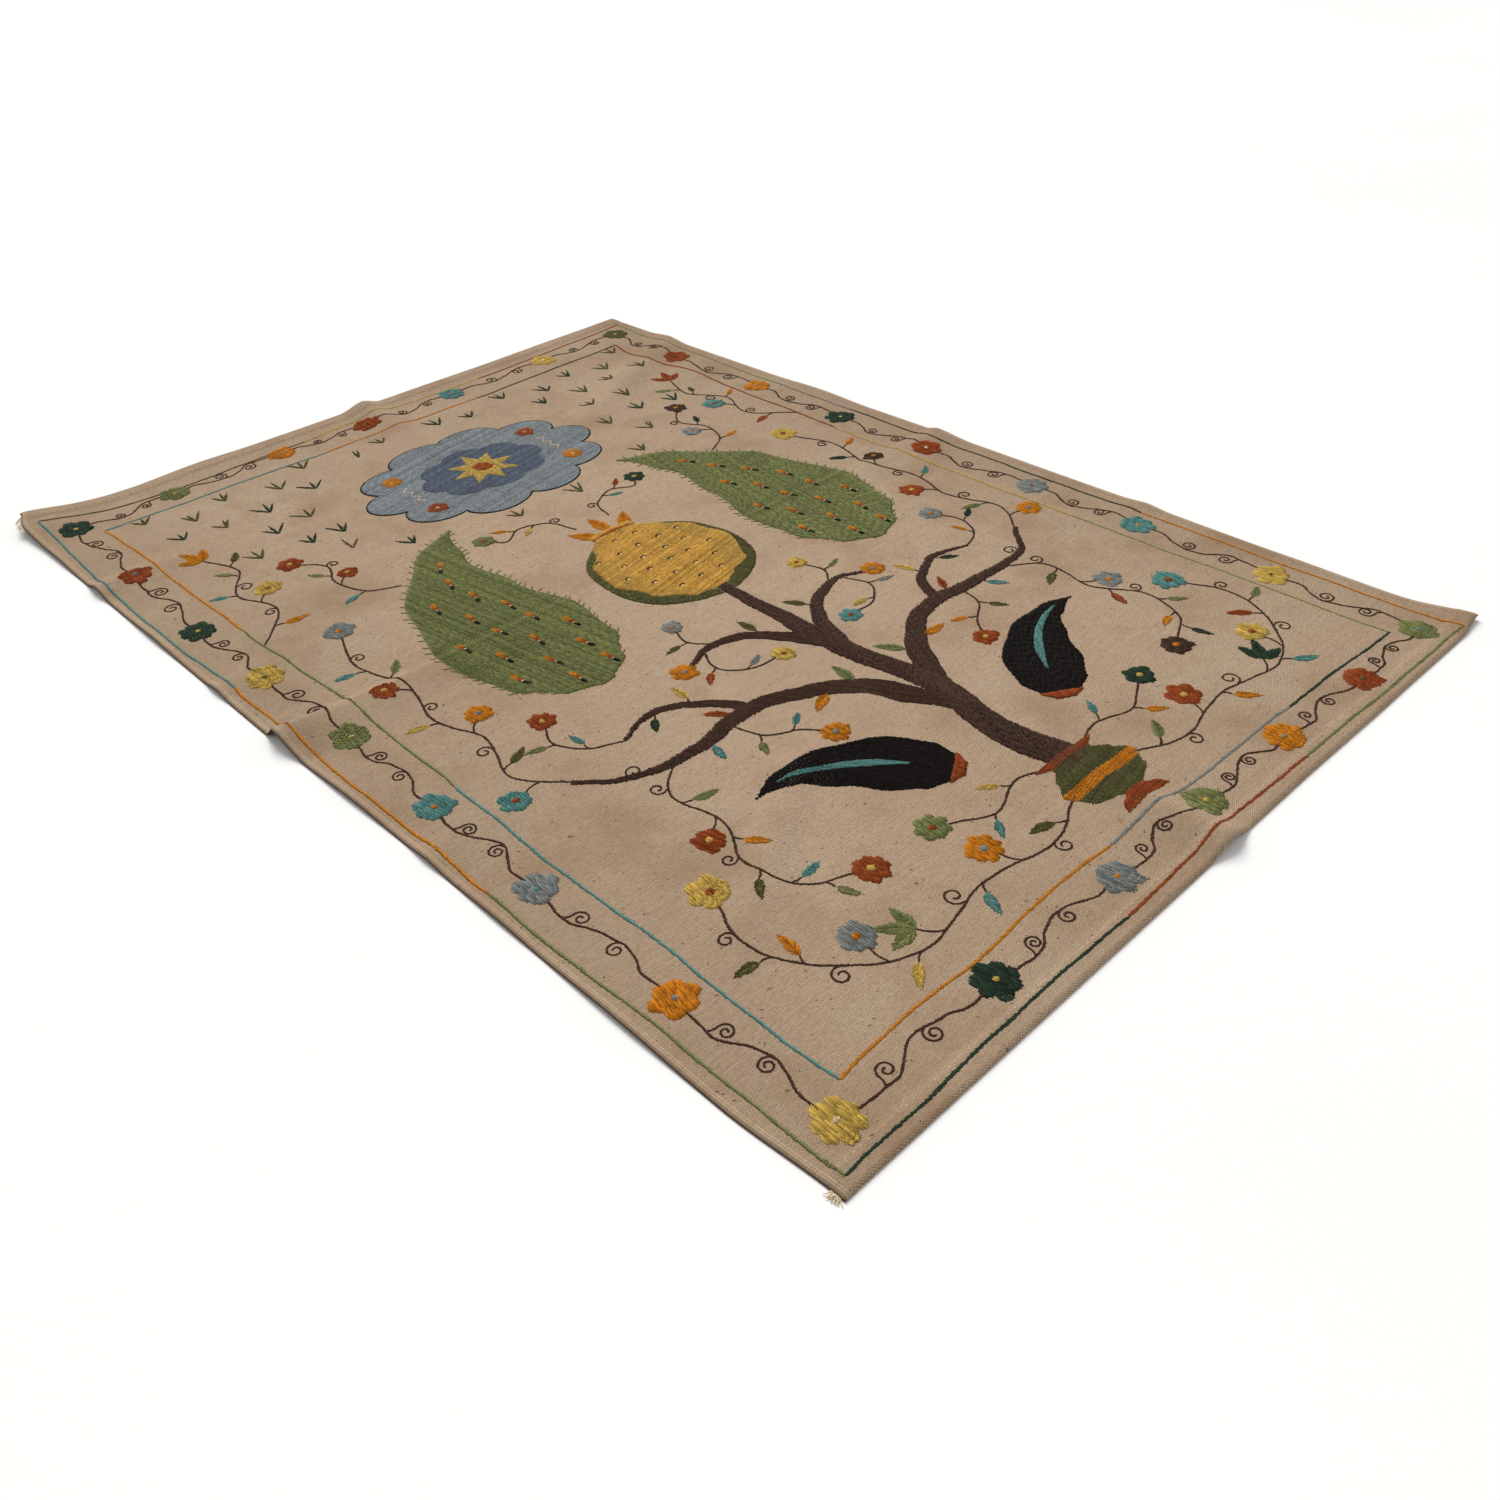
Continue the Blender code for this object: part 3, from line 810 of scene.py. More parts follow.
# %% The two border lines
# Columns: dye of a run, then the points that it passes through. It starts where the run before it ended.
OUTER_LINE = (
    ("green", ((-0.682, -0.862), (-0.687, -0.705), (-0.689, -0.563), (-0.689, -0.438))),
    ("gold", ((-0.690, -0.254), (-0.692, -0.086), (-0.693, 0.029), (-0.693, 0.203))),
    ("teal", ((-0.700, 0.410), (-0.701, 0.626), (-0.693, 0.789), (-0.691, 0.971))),
    ("olive", ((-0.562, 0.943), (-0.422, 0.934), (-0.283, 0.938), (-0.171, 0.943))),
    ("pale yellow", ((-0.063, 0.955), (0.056, 0.955), (0.156, 0.954), (0.262, 0.955))),
    ("rust", ((0.395, 0.959), (0.515, 0.967), (0.615, 0.975), (0.680, 0.981))),
    ("light green", ((0.674, 0.850), (0.675, 0.694), (0.671, 0.554), (0.670, 0.439))),
    ("light blue", ((0.664, 0.320), (0.666, 0.218))),
    ("dark green", ((0.665, 0.046), (0.663, -0.104), (0.662, -0.283), (0.658, -0.471))),
    ("gold", ((0.657, -0.622), (0.653, -0.782), (0.649, -0.922), (0.653, -1.022))),
    ("green", ((0.531, -1.017), (0.422, -1.013), (0.312, -1.011), (0.210, -1.007))),
    ("rust", ((0.103, -1.004), (-0.024, -1.000), (-0.116, -1.003), (-0.203, -1.006))),
    ("dark green", ((-0.305, -1.004), (-0.444, -1.001), (-0.563, -1.007), (-0.681, -1.008))),
)
INNER_LINE = (
    ("teal", ((-0.604, -0.762), (-0.600, -0.603), (-0.604, -0.423), (-0.599, -0.234))),
    ("green", ((-0.596, -0.084), (-0.593, 0.023), (-0.600, 0.175), (-0.605, 0.351))),
    ("gold", ((-0.609, 0.514), (-0.607, 0.692), (-0.615, 0.866))),
    ("teal", ((-0.482, 0.865), (-0.323, 0.864), (-0.171, 0.861))),
    ("gold", ((-0.083, 0.865), (-0.008, 0.864), (0.096, 0.865), (0.192, 0.863))),
    ("dark green", ((0.326, 0.867), (0.465, 0.873), (0.591, 0.880))),
    ("rust", ((0.572, 0.755), (0.599, 0.634), (0.591, 0.494), (0.585, 0.335), (0.581, 0.179))),
    ("pale yellow", ((0.578, 0.035), (0.577, -0.134), (0.575, -0.263), (0.573, -0.384))),
    ("light green", ((0.572, -0.563), (0.570, -0.762), (0.571, -0.949))),
    ("dark green", ((0.495, -0.944), (0.395, -0.940), (0.298, -0.936))),
    ("light blue", ((0.196, -0.931), (0.086, -0.928), (-0.005, -0.921), (-0.111, -0.921))),
    ("gold", ((-0.223, -0.917), (-0.352, -0.922), (-0.482, -0.919), (-0.600, -0.926))),
)
LINE_SHAKE = 0.0015


def directions(path):
    """The direction of a path at each of its points."""
    way = np.gradient(np.asarray(path), axis=0)
    return way / np.linalg.norm(way, axis=1, keepdims=True)


def left_of(way):
    return np.column_stack([-way[:, 1], way[:, 0]])


def shaky(path, size=LINE_SHAKE, wave=0.055):
    """Moves a path aside by a slow wave and two quicker ones, as a hand does. Its ends stay."""
    path = np.asarray(path)
    travelled = distances_along(path)
    waves = [(speed, hand.uniform(0.0, 6.28)) for speed in (1.0, 2.3, 5.1)]
    aside = sum(np.sin(travelled / wave * speed + phase) / speed for speed, phase in waves)
    aside *= size * smooth(travelled / 0.03) * smooth((travelled[-1] - travelled) / 0.03)
    return path + left_of(directions(path)) * aside[:, None]


def sewn_line(line):
    made = []
    before = line[-1][1][-1]
    for dye, points in line:
        path = shaky(curve_through((before, *points)))
        made += stem_stitch(path, dye, width=0.0032, length=0.0080, step=0.0036, slant=0.46)
        before = points[-1]
    return made


sew("border_lines", sewn_line(OUTER_LINE) + sewn_line(INNER_LINE), seed=1)

# %% [markdown]
# The flowers of the border have six to eight rounded petals. Their outline is a circle whose radius swells
# and shrinks with the angle, unevenly, because each was drawn by hand. All of them are filled along the
# warps, with a small eye in another colour on top.

# %% Flowers and the border's flowers
def petal_outline(x, y, radius, petals, depth=0.20):
    turn = hand.uniform(0.0, 6.28)
    swell = [hand.uniform(0.86, 1.10) for _ in range(petals)]
    points = []
    for step in range(petals * 8):
        share = step / 8.0
        petal = int(share) % petals
        bulge = math.sin(math.pi * (share % 1.0)) ** 0.8
        reach = radius * (1.0 - depth + bulge * (swell[petal] - 1.0 + depth)) * hand.uniform(0.975, 1.025)
        angle = turn + 2.0 * math.pi * share / petals
        points.append((x + reach * math.cos(angle), y + reach * math.sin(angle)))
    return points


def flower(x, y, dye, eye, radius=0.030, petals=7, eye_radius=0.0045):
    grain = hand.uniform(80.0, 100.0)
    made = long_and_short(petal_outline(x, y, radius, petals), dye, angle=grain, length=0.022, ragged=0.0021)
    eye_outline = petal_outline(x, y, eye_radius, 5)
    made += long_and_short(eye_outline, eye, grain, 0.0014, lift=ON_STITCHES, ragged=0.0003)
    return made


# Walking round the border with the field on the left hand. Columns: x, y, dye, dye of the eye.
BORDER_FLOWERS = (
    (-0.639, -0.958, "pale yellow", "cream"),
    (-0.383, -0.956, "dark green", "pale yellow"),
    (-0.153, -0.958, "light blue", "gold"),
    (0.042, -0.959, "green", "pale yellow"),
    (0.231, -0.964, "gold", "light blue"),
    (0.428, -0.976, "rust", "olive"),
    (0.605, -0.976, "green", "teal"),
    (0.611, -0.738, "pale yellow", "olive"),
    (0.617, -0.490, "teal", "gold"),
    (0.622, -0.266, "light blue", "rust"),
    (0.620, -0.022, "rust", "cream"),
    (0.625, 0.205, "dark green", "pale yellow"),
    (0.631, 0.452, "gold", "light blue"),
    (0.631, 0.714, "rust", "olive"),
    (0.636, 0.934, "olive", "pale yellow"),
    (0.421, 0.931, "pale yellow", "cream"),
    (0.171, 0.924, "teal", "gold"),
    (-0.041, 0.921, "rust", "olive"),
    (-0.230, 0.927, "gold", "light blue"),
    (-0.457, 0.917, "green", "pale yellow"),
    (-0.650, 0.907, "dark green", "yellow"),
    (-0.649, 0.653, "rust", "teal"),
    (-0.656, 0.403, "dark green", "pale yellow"),
    (-0.647, 0.199, "pale yellow", "olive"),
    (-0.636, -0.032, "green", "pale yellow"),
    (-0.642, -0.249, "teal", "gold"),
    (-0.643, -0.473, "light blue", "teal"),
    (-0.644, -0.724, "gold", "light blue"),
)
border_flower_work = []
for flower_x, flower_y, flower_dye, eye_dye in BORDER_FLOWERS:
    border_flower_work += flower(flower_x, flower_y, flower_dye, eye_dye, petals=hand.choice((6, 7, 7, 8)))
sew("border_flowers", border_flower_work, seed=2)

# %% [markdown]
# A brown vine links each flower to the next. It leaves a flower low, climbs to a crest past the middle, and
# comes back down. A first tendril curls up out of the hollow, and a second one curls back under the crest.
# The vine is drawn once between 0 and 1 and laid between each pair of flowers, where it is stretched to the
# gap and bent a little more or less. A spiral is a radius that shrinks with the angle.

# %% The border's vine
# Columns: share of the way from flower to flower, distance to the field's side.
VINE = ((0.092, -0.005), (0.22, -0.008), (0.33, -0.007), (0.43, 0.006), (0.53, 0.015), (0.61, 0.015),
        (0.71, 0.006), (0.80, -0.003), (0.910, -0.002))
USUAL_GAP = 0.255
# The tendrils. Columns: share of the vine where one leaves it, radius, start angle.
HOLLOW_TENDRIL = (0.19, 0.0136, 205.0)
CREST_TENDRIL = (0.61, 0.0142, 84.0)
HOLLOW_CENTRE = (0.0175, 0.0145)
TENDRIL_EYE = 0.2
FINE_STITCH = {"width": 0.0026, "length": 0.0050, "step": 0.0026}


def spiral(x, y, radius, start_angle, turns, inner=0.28):
    """A path that winds inwards round a point. A negative number of turns winds clockwise."""
    share = np.linspace(0.0, 1.0, int(60 * abs(turns)))
    angle = math.radians(start_angle) + 2.0 * math.pi * turns * share
    reach = radius * (1.0 - (1.0 - inner) * share)
    return np.column_stack([x + reach * np.cos(angle), y + reach * np.sin(angle)])


def laid_between(path, start, end):
    """Turns a path that runs from (0, 0) along +X to lie from start towards end."""
    way = np.array(end) - np.array(start)
    way /= np.linalg.norm(way)
    return np.array(start) + path[:, :1] * way + path[:, 1:] * np.array([-way[1], way[0]])


def vine_between(start, end):
    span = math.dist(start, end)
    size = span / USUAL_GAP * hand.uniform(0.92, 1.08)
    bend = hand.uniform(0.85, 1.15)
    points = [(share * span, aside * bend + hand.uniform(-0.0015, 0.0015)) for share, aside in VINE]
    path = shaky(curve_through(points), 0.0012, 0.011)
    made = stem_stitch(laid_between(path, start, end), "brown")
    share, radius, angle = HOLLOW_TENDRIL
    low = path[int(share * len(path))]
    centre = (low[0] + HOLLOW_CENTRE[0] * size, low[1] + HOLLOW_CENTRE[1])
    first = spiral(*centre, radius * size, angle, -hand.uniform(1.4, 1.7), TENDRIL_EYE)
    share, radius, angle = CREST_TENDRIL
    crest = path[int(share * len(path))]
    centre = (crest[0], crest[1] - radius * size)
    second = spiral(*centre, radius * size, angle, hand.uniform(1.4, 1.65), TENDRIL_EYE)
    for tendril in (np.concatenate([[low], first]), second):
        tendril = laid_between(shaky(tendril, 0.0005, 0.009), start, end)
        made += stem_stitch(tendril, "brown", **FINE_STITCH)
    return made


vine_work = []
flower_places = [row[:2] for row in BORDER_FLOWERS]
for vine_start, vine_end in zip(flower_places, flower_places[1:] + flower_places[:1]):
    vine_work += vine_between(vine_start, vine_end)
sew("border_vine", vine_work, seed=3)

# %% [markdown]
# The field holds a traditional tree: a trunk that stands in a vase, boughs that curl out to both sides, a
# pomegranate at the top, and palm-leaf shapes beside it. A bough is a ribbon, a path with a width that
# shrinks along it. The left half mirrors the right one, but each is sewn with its own small unevenness.

# %% Ribbons, leaves and botehs
def ribbon(path, widths, scale=1.0):
    """The outline of a band along a path. widths is a table of (share of the length, full width)."""
    scaled = [(share, part * scale) for share, part in widths]
    half = 0.5 * read_table(scaled, np.linspace(0.0, 1.0, len(path)))
    aside = left_of(directions(path)) * half[:, None]
    return np.concatenate([path + aside, (path - aside)[::-1]])


def arc_path(x, y, angle, length, bend, power=1.0, count=60):
    """A path that starts at an angle and turns by bend degrees over its length, later for a higher power."""
    share = np.linspace(0.0, 1.0, count)
    heading = np.radians(angle + bend * share**power)
    steps = np.column_stack([np.cos(heading), np.sin(heading)]) * length / (count - 1)
    return np.array([x, y]) + np.concatenate([[[0.0, 0.0]], np.cumsum(steps[:-1], axis=0)])


LEAF_WIDTHS = ((0.0, 0.10), (0.22, 0.85), (0.45, 1.0), (0.75, 0.62), (1.0, 0.04))
BOTEH_WIDTHS = ((0.0, 0.10), (0.05, 0.52), (0.16, 0.86), (0.34, 1.0), (0.58, 0.74), (0.82, 0.34), (1.0, 0.03))


def leaf(x, y, angle, length, width, dye, bend=18.0):
    """A leaf in two halves. Their strands slant away from the middle vein."""
    path = arc_path(x, y, angle, length, bend * hand.uniform(0.6, 1.4))
    outline = ribbon(path, LEAF_WIDTHS, width)
    made = []
    for half, slant in ((outline[:len(path)], 1.0), (outline[len(path):][::-1], -1.0)):
        half_outline = np.concatenate([path, half[::-1]])
        strand_angle = angle + slant * hand.uniform(32.0, 44.0)
        made += long_and_short(half_outline, dye, strand_angle, length=0.012, ragged=0.0018)
    return made


def trefoil(x, y, angle, size, dye):
    """Three pointed leaves from one stalk."""
    made = []
    for turn, share in ((-48.0, 0.82), (0.0, 1.0), (48.0, 0.82)):
        made += leaf(x, y, angle + turn + hand.uniform(-7.0, 7.0), share * size, 0.36 * size, dye, bend=8.0)
    return made


# %% [markdown]
# Small things repeat all over the field: flowers and leaves on a stalk, curls, and sprigs of grass. Each
# function places one of them beside a vine. The vine's own table says where along it they go, to which
# side, and their dye.

# %% Vines with flowers
field_flowers, field_vines = [], []
LEFT_STRETCH = 1.027
# The dye of the eye that goes with each dye of a flower.
EYES = {"rust": "pale yellow", "gold": "light blue", "teal": "rust", "light blue": "gold",
        "pale yellow": "rust", "dark green": "pale yellow", "brown": "gold", "green": "rust"}


def mirrored(points, hand_side):
    """The points on the right half, or on the left half, which is a little wider."""
    stretch = 1.0 if hand_side > 0 else LEFT_STRETCH
    return [(hand_side * stretch * x, y) for x, y in points]


# How far each kind stands off its vine, as a share of its own size.
STAND_OFF = {"flower": 0.9, "leaf": 0.15, "trefoil": 0.5}


def curl(x, y, heading, turn, size):
    """A small spiral beside a vine. turn is 1 to the left and -1 to the right."""
    centre = arc_path(x, y, heading + 90.0 * turn, size, 0.0, count=2)[-1]
    winding = spiral(centre[0], centre[1], size, heading - 90.0 * turn, 1.25 * turn)
    return stem_stitch(shaky(winding, 0.0005, 0.009), "brown", **FINE_STITCH)


def degrees_of(way):
    return math.degrees(math.atan2(way[1], way[0]))


def place_items(path, items, hand_side):
    """Sews what grows on a path. An item is (share along, side, kind, dye, size). Side 0 ends the vine."""
    for share, side, kind, dye, size in items:
        at = int(share * (len(path) - 1))
        x, y = path[at]
        heading = degrees_of(path[min(len(path) - 1, at + 3)] - path[max(0, at - 3)])
        turn = side * hand_side
        if kind == "curl":
            field_vines.extend(curl(x, y, heading, turn, size))
            continue
        out = heading + turn * hand.uniform(48.0, 66.0)
        if side != 0:
            stalk = arc_path(x, y, out - 25.0 * turn, STAND_OFF[kind] * size + 0.010, 50.0 * turn, count=20)
            field_vines.extend(stem_stitch(stalk, "brown", width=0.0025, length=0.0055, step=0.0028))
            x, y = stalk[-1]
        if kind == "flower":
            x, y = arc_path(x, y, out, 0.75 * size, 0.0, count=2)[-1]
            petals = hand.choice((6, 7, 8))
            field_flowers.extend(flower(x, y, dye, EYES[dye], size, petals, eye_radius=0.24 * size))
        elif kind == "leaf":
            field_flowers.extend(leaf(x, y, out, size, 0.36 * size, dye))
        else:
            field_flowers.extend(trefoil(x, y, out, size, dye))


def grow(vine_points, items, hand_side):
    path = curve_through(mirrored(vine_points, hand_side))
    field_vines.extend(stem_stitch(shaky(path, 0.0013, 0.025), "brown"))
    place_items(path, items, hand_side)


# Vines of the right half. Each has its points, then its items.
VINES = (
    (((0.060, -0.835), (0.150, -0.868), (0.270, -0.850), (0.390, -0.872), (0.490, -0.800), (0.520, -0.715),
      (0.498, -0.648)),
     ((0.08, 1, "leaf", "green", 0.044), (0.15, -1, "curl", "brown", 0.013),
      (0.24, 1, "flower", "rust", 0.026), (0.34, -1, "leaf", "gold", 0.042),
      (0.40, 1, "curl", "brown", 0.015), (0.48, 1, "trefoil", "dark green", 0.055),
      (0.56, -1, "leaf", "teal", 0.042), (0.62, 1, "flower", "pale yellow", 0.026),
      (0.70, -1, "curl", "brown", 0.014), (0.76, 1, "leaf", "rust", 0.044),
      (0.82, -1, "leaf", "green", 0.040), (0.91, -1, "curl", "brown", 0.012),
      (1.0, 0, "flower", "teal", 0.029))),
    (((0.345, -0.402), (0.405, -0.455), (0.392, -0.545), (0.430, -0.620), (0.405, -0.700), (0.350, -0.730)),
     ((0.16, 1, "curl", "brown", 0.013), (0.26, -1, "leaf", "olive", 0.042),
      (0.38, 1, "flower", "light blue", 0.024), (0.50, -1, "leaf", "rust", 0.040),
      (0.60, 1, "curl", "brown", 0.012), (0.70, 1, "leaf", "green", 0.036),
      (0.80, -1, "leaf", "gold", 0.036), (0.90, 1, "leaf", "dark green", 0.036),
      (1.0, 0, "flower", "brown", 0.026))),
    (((0.470, -0.345), (0.520, -0.270), (0.495, -0.170), (0.520, -0.080), (0.498, 0.020), (0.522, 0.120),
      (0.495, 0.215)),
     ((0.08, -1, "flower", "gold", 0.024), (0.19, 1, "leaf", "green", 0.042),
      (0.27, -1, "curl", "brown", 0.013), (0.36, 1, "flower", "rust", 0.023),
      (0.46, -1, "leaf", "teal", 0.036), (0.54, 1, "curl", "brown", 0.012),
      (0.62, -1, "flower", "brown", 0.021), (0.72, 1, "leaf", "dark green", 0.040),
      (0.80, -1, "leaf", "gold", 0.036), (0.88, 1, "curl", "brown", 0.012),
      (1.0, 0, "flower", "pale yellow", 0.027))),
    (((0.150, -0.236), (0.166, -0.285), (0.132, -0.322), (0.088, -0.326)),
     ((0.30, 1, "leaf", "light blue", 0.034), (0.62, -1, "leaf", "pale yellow", 0.034),
      (1.0, 0, "flower", "teal", 0.020))),
    (((0.587, 0.285), (0.520, 0.370), (0.545, 0.460), (0.505, 0.540), (0.530, 0.620)),
     ((0.14, 1, "leaf", "rust", 0.042), (0.28, -1, "curl", "brown", 0.012),
      (0.40, 1, "flower", "teal", 0.024), (0.54, -1, "leaf", "gold", 0.032),
      (0.62, 1, "curl", "brown", 0.014), (0.72, -1, "leaf", "olive", 0.032),
      (0.84, 1, "leaf", "green", 0.040), (1.0, 0, "trefoil", "rust", 0.052))),
    (((0.370, -0.320), (0.412, -0.300), (0.438, -0.255), (0.425, -0.215)),
     ((0.34, 1, "leaf", "gold", 0.032), (0.66, -1, "leaf", "dark green", 0.034),
      (1.0, 0, "flower", "light blue", 0.022))),
    (((0.036, 0.222), (0.052, 0.275), (0.100, 0.302), (0.142, 0.280), (0.160, 0.298)),
     ((0.28, 1, "curl", "brown", 0.011), (0.46, -1, "leaf", "teal", 0.030),
      (0.66, 1, "leaf", "rust", 0.032), (1.0, 0, "flower", "dark green", 0.021))),
    (((0.125, -0.232), (0.148, -0.196), (0.140, -0.160)),
     ((0.50, -1, "leaf", "green", 0.032), (1.0, 0, "flower", "pale yellow", 0.018))),
    (((0.250, -0.398), (0.236, -0.450), (0.192, -0.478), (0.172, -0.505)),
     ((0.36, 1, "leaf", "olive", 0.034), (0.68, -1, "leaf", "gold", 0.032),
      (1.0, 0, "flower", "rust", 0.022))),
    (((0.020, -0.790), (0.085, -0.762), (0.150, -0.782), (0.212, -0.752)),
     ((0.40, 1, "leaf", "teal", 0.034), (0.68, -1, "leaf", "gold", 0.036),
      (1.0, 0, "flower", "dark green", 0.024))),
    (((0.345, 0.285), (0.395, 0.315), (0.415, 0.375), (0.395, 0.435), (0.425, 0.480)),
     ((0.24, -1, "leaf", "gold", 0.034), (0.44, 1, "flower", "light blue", 0.020),
      (0.60, -1, "leaf", "dark green", 0.034), (0.78, 1, "curl", "brown", 0.011),
      (1.0, 0, "flower", "brown", 0.023))),
)
print("vines of one half:", len(VINES))

# %% The tree, its boughs and its vase
tree_work = []
TRUNK = ((0.000, -0.800), (-0.014, -0.690), (0.012, -0.560), (0.000, -0.430), (-0.006, -0.300),
         (0.002, -0.106))
TRUNK_WIDTHS = ((0.0, 0.060), (0.25, 0.046), (0.6, 0.040), (1.0, 0.022))
# Columns: the bough's points, its table of widths, what grows on it.
BOUGHS = (
    (((0.010, -0.620), (0.028, -0.535), (0.080, -0.452), (0.180, -0.395), (0.310, -0.405), (0.410, -0.395),
      (0.475, -0.340)),
     ((0.0, 0.012), (0.16, 0.040), (0.5, 0.028), (1.0, 0.009)),
     ((0.26, 1, "leaf", "green", 0.052), (0.32, -1, "leaf", "gold", 0.048), (0.56, 1, "leaf", "rust", 0.040),
      (0.66, -1, "leaf", "teal", 0.038), (0.86, 1, "curl", "brown", 0.014))),
    (((0.002, -0.410), (0.014, -0.345), (0.060, -0.265), (0.130, -0.232), (0.190, -0.250)),
     ((0.0, 0.010), (0.25, 0.028), (0.6, 0.020), (1.0, 0.008)),
     ((0.52, 1, "leaf", "olive", 0.042), (1.0, 0, "flower", "gold", 0.022))),
    (((0.200, -0.394), (0.235, -0.335), (0.300, -0.300), (0.370, -0.320)),
     ((0.0, 0.020), (0.6, 0.014), (1.0, 0.006)),
     ((0.40, 1, "leaf", "pale yellow", 0.040), (0.64, -1, "leaf", "dark green", 0.036))),
)
for side in (-1, 1):
    for bough_points, bough_widths, bough_items in BOUGHS:
        bough_path = curve_through(mirrored(bough_points, side))
        bough = ribbon(shaky(bough_path, 0.0022, 0.03), bough_widths)
        tree_work += long_and_short(bough, "brown", angle=90.0 - 28.0 * side, length=0.014, ragged=0.0024)
        place_items(bough_path, bough_items, side)
trunk = ribbon(shaky(curve_through(TRUNK), 0.002, 0.04), TRUNK_WIDTHS)
tree_work += long_and_short(trunk, "brown", angle=66.0, ragged=0.0026)

# The vase is a turned outline: a foot, a belly, a neck and a lip. Columns: height above its foot, half width.
VASE_FOOT = (0.0, -0.905)
VASE = ((0.0, 0.046), (0.012, 0.040), (0.022, 0.022), (0.045, 0.060), (0.075, 0.076), (0.100, 0.058),
        (0.118, 0.040), (0.134, 0.062))


def vase_band(low, high):
    """The part of the vase between two heights."""
    heights = np.linspace(low, high, 24)
    half = read_table(VASE, heights)
    right = np.column_stack([VASE_FOOT[0] + half, VASE_FOOT[1] + heights])
    left = np.column_stack([VASE_FOOT[0] - half, VASE_FOOT[1] + heights])
    return np.concatenate([right, left[::-1]])


# The bands of the vase, from its foot. Columns: dye, height where the band ends.
VASE_BANDS = (("rust", 0.024), ("olive", 0.060), ("gold", 0.080), ("olive", 0.120), ("rust", 0.134))
band_low = 0.0
for band_dye, band_high in VASE_BANDS:
    tree_work += long_and_short(vase_band(band_low, band_high), band_dye, angle=8.0, length=0.016)
    band_low = band_high
sew("tree_stitches", tree_work, seed=4)

# %% [markdown]
# A boteh is the palm-leaf shape of many old textiles: round at its foot, with a tip that bends over. It is
# a leaf whose path turns late. The large green ones carry rows of small darts in four colours and a fringe
# of dashes. The black ones have a teal stripe along the middle and a rust collar.

# %% The green botehs
GREEN_BOTEH = {"foot": (0.300, -0.190), "angle": 84.0, "length": 0.620, "width": 0.250,
               "bend": 62.0, "power": 2.6}
BOTEH_POINTS = 90
DART_GAP = 0.066
DART_ROWS = 8
DART_POINTS = 40
# The bars of a dart. Columns: shares of its length where a bar starts and stops, width, dye.
DART_BARS = ((0.0, 0.42, 0.0100, "gold"), (0.36, 0.64, 0.0090, "rust"), (0.54, 0.66, 0.0045, "cream"),
             (0.64, 1.0, 0.0070, "black"))
FRINGE_DASHES = 34


def boteh_path(shape, side):
    """The middle line of a boteh, from its foot to its tip. side is 1 on the right and -1 on the left."""
    foot_x, foot_y = shape["foot"]
    angle = shape["angle"] if side > 0 else 180.0 - shape["angle"]
    bend = side * shape["bend"]
    return arc_path(side * foot_x, foot_y, angle, shape["length"], bend, shape["power"], BOTEH_POINTS)


def dart(x, y, heading, size=0.040):
    """A small mark of four short bars on end."""
    line = arc_path(x, y, heading, size, 0.0, count=DART_POINTS)
    made = []
    for start, stop, width, dye in DART_BARS:
        path = line[int(DART_POINTS * start):int(DART_POINTS * stop)]
        outline = ribbon(path, ((0.0, 0.8), (0.5, 1.0), (1.0, 0.7)), width)
        made += long_and_short(outline, dye, heading, 0.0015, 0.010, lift=ON_STITCHES, ragged=0.0004)
    return made


def darts_on(path, half_width):
    """Rows of darts across a boteh, each row set off from the last."""
    way = directions(path)
    aside = left_of(way)
    made = []
    for i, share in enumerate(np.linspace(0.11, 0.82, DART_ROWS)):
        at = int(share * (len(path) - 1))
        count = max(1, int(2.0 * half_width(share) / DART_GAP))
        for j in range(count):
            off = (j - 0.5 * (count - 1)) * DART_GAP + (0.014 if i % 2 else -0.014) * (count > 1)
            spot = path[at] + aside[at] * off
            made += dart(*spot, degrees_of(way[at]) + hand.uniform(-8.0, 8.0) + 180.0)
    return made


def fringe_of(path, half_width):
    """Short dashes that stand out from both edges."""
    way = directions(path)
    aside = left_of(way)
    made = []
    for edge in (1.0, -1.0):
        for share in np.linspace(0.06, 0.97, FRINGE_DASHES):
            at = int(share * (len(path) - 1))
            spot = path[at] + edge * aside[at] * (half_width(share) - 0.002)
            heading = degrees_of(way[at]) + edge * hand.uniform(35.0, 60.0)
            dash = arc_path(*spot, heading, hand.uniform(0.011, 0.017), 0.0, count=8)
            made += stem_stitch(dash, "green", width=0.0026, length=0.010, step=0.008)
    return made


def green_boteh(side):
    def half_width(share):
        return 0.5 * GREEN_BOTEH["width"] * float(read_table(BOTEH_WIDTHS, share))

    path = boteh_path(GREEN_BOTEH, side)
    outline = ribbon(path, BOTEH_WIDTHS, GREEN_BOTEH["width"])
    made = long_and_short(outline, "green", angle=90.0 - 9.0 * side, length=0.020)
    return made + darts_on(path, half_width) + fringe_of(path, half_width)


sew("green_botehs", green_boteh(-1) + green_boteh(1), seed=5)

# %% The black botehs
BLACK_BOTEH = {"foot": (0.112, -0.700), "angle": 58.0, "length": 0.300, "width": 0.118,
               "bend": -70.0, "power": 1.8}


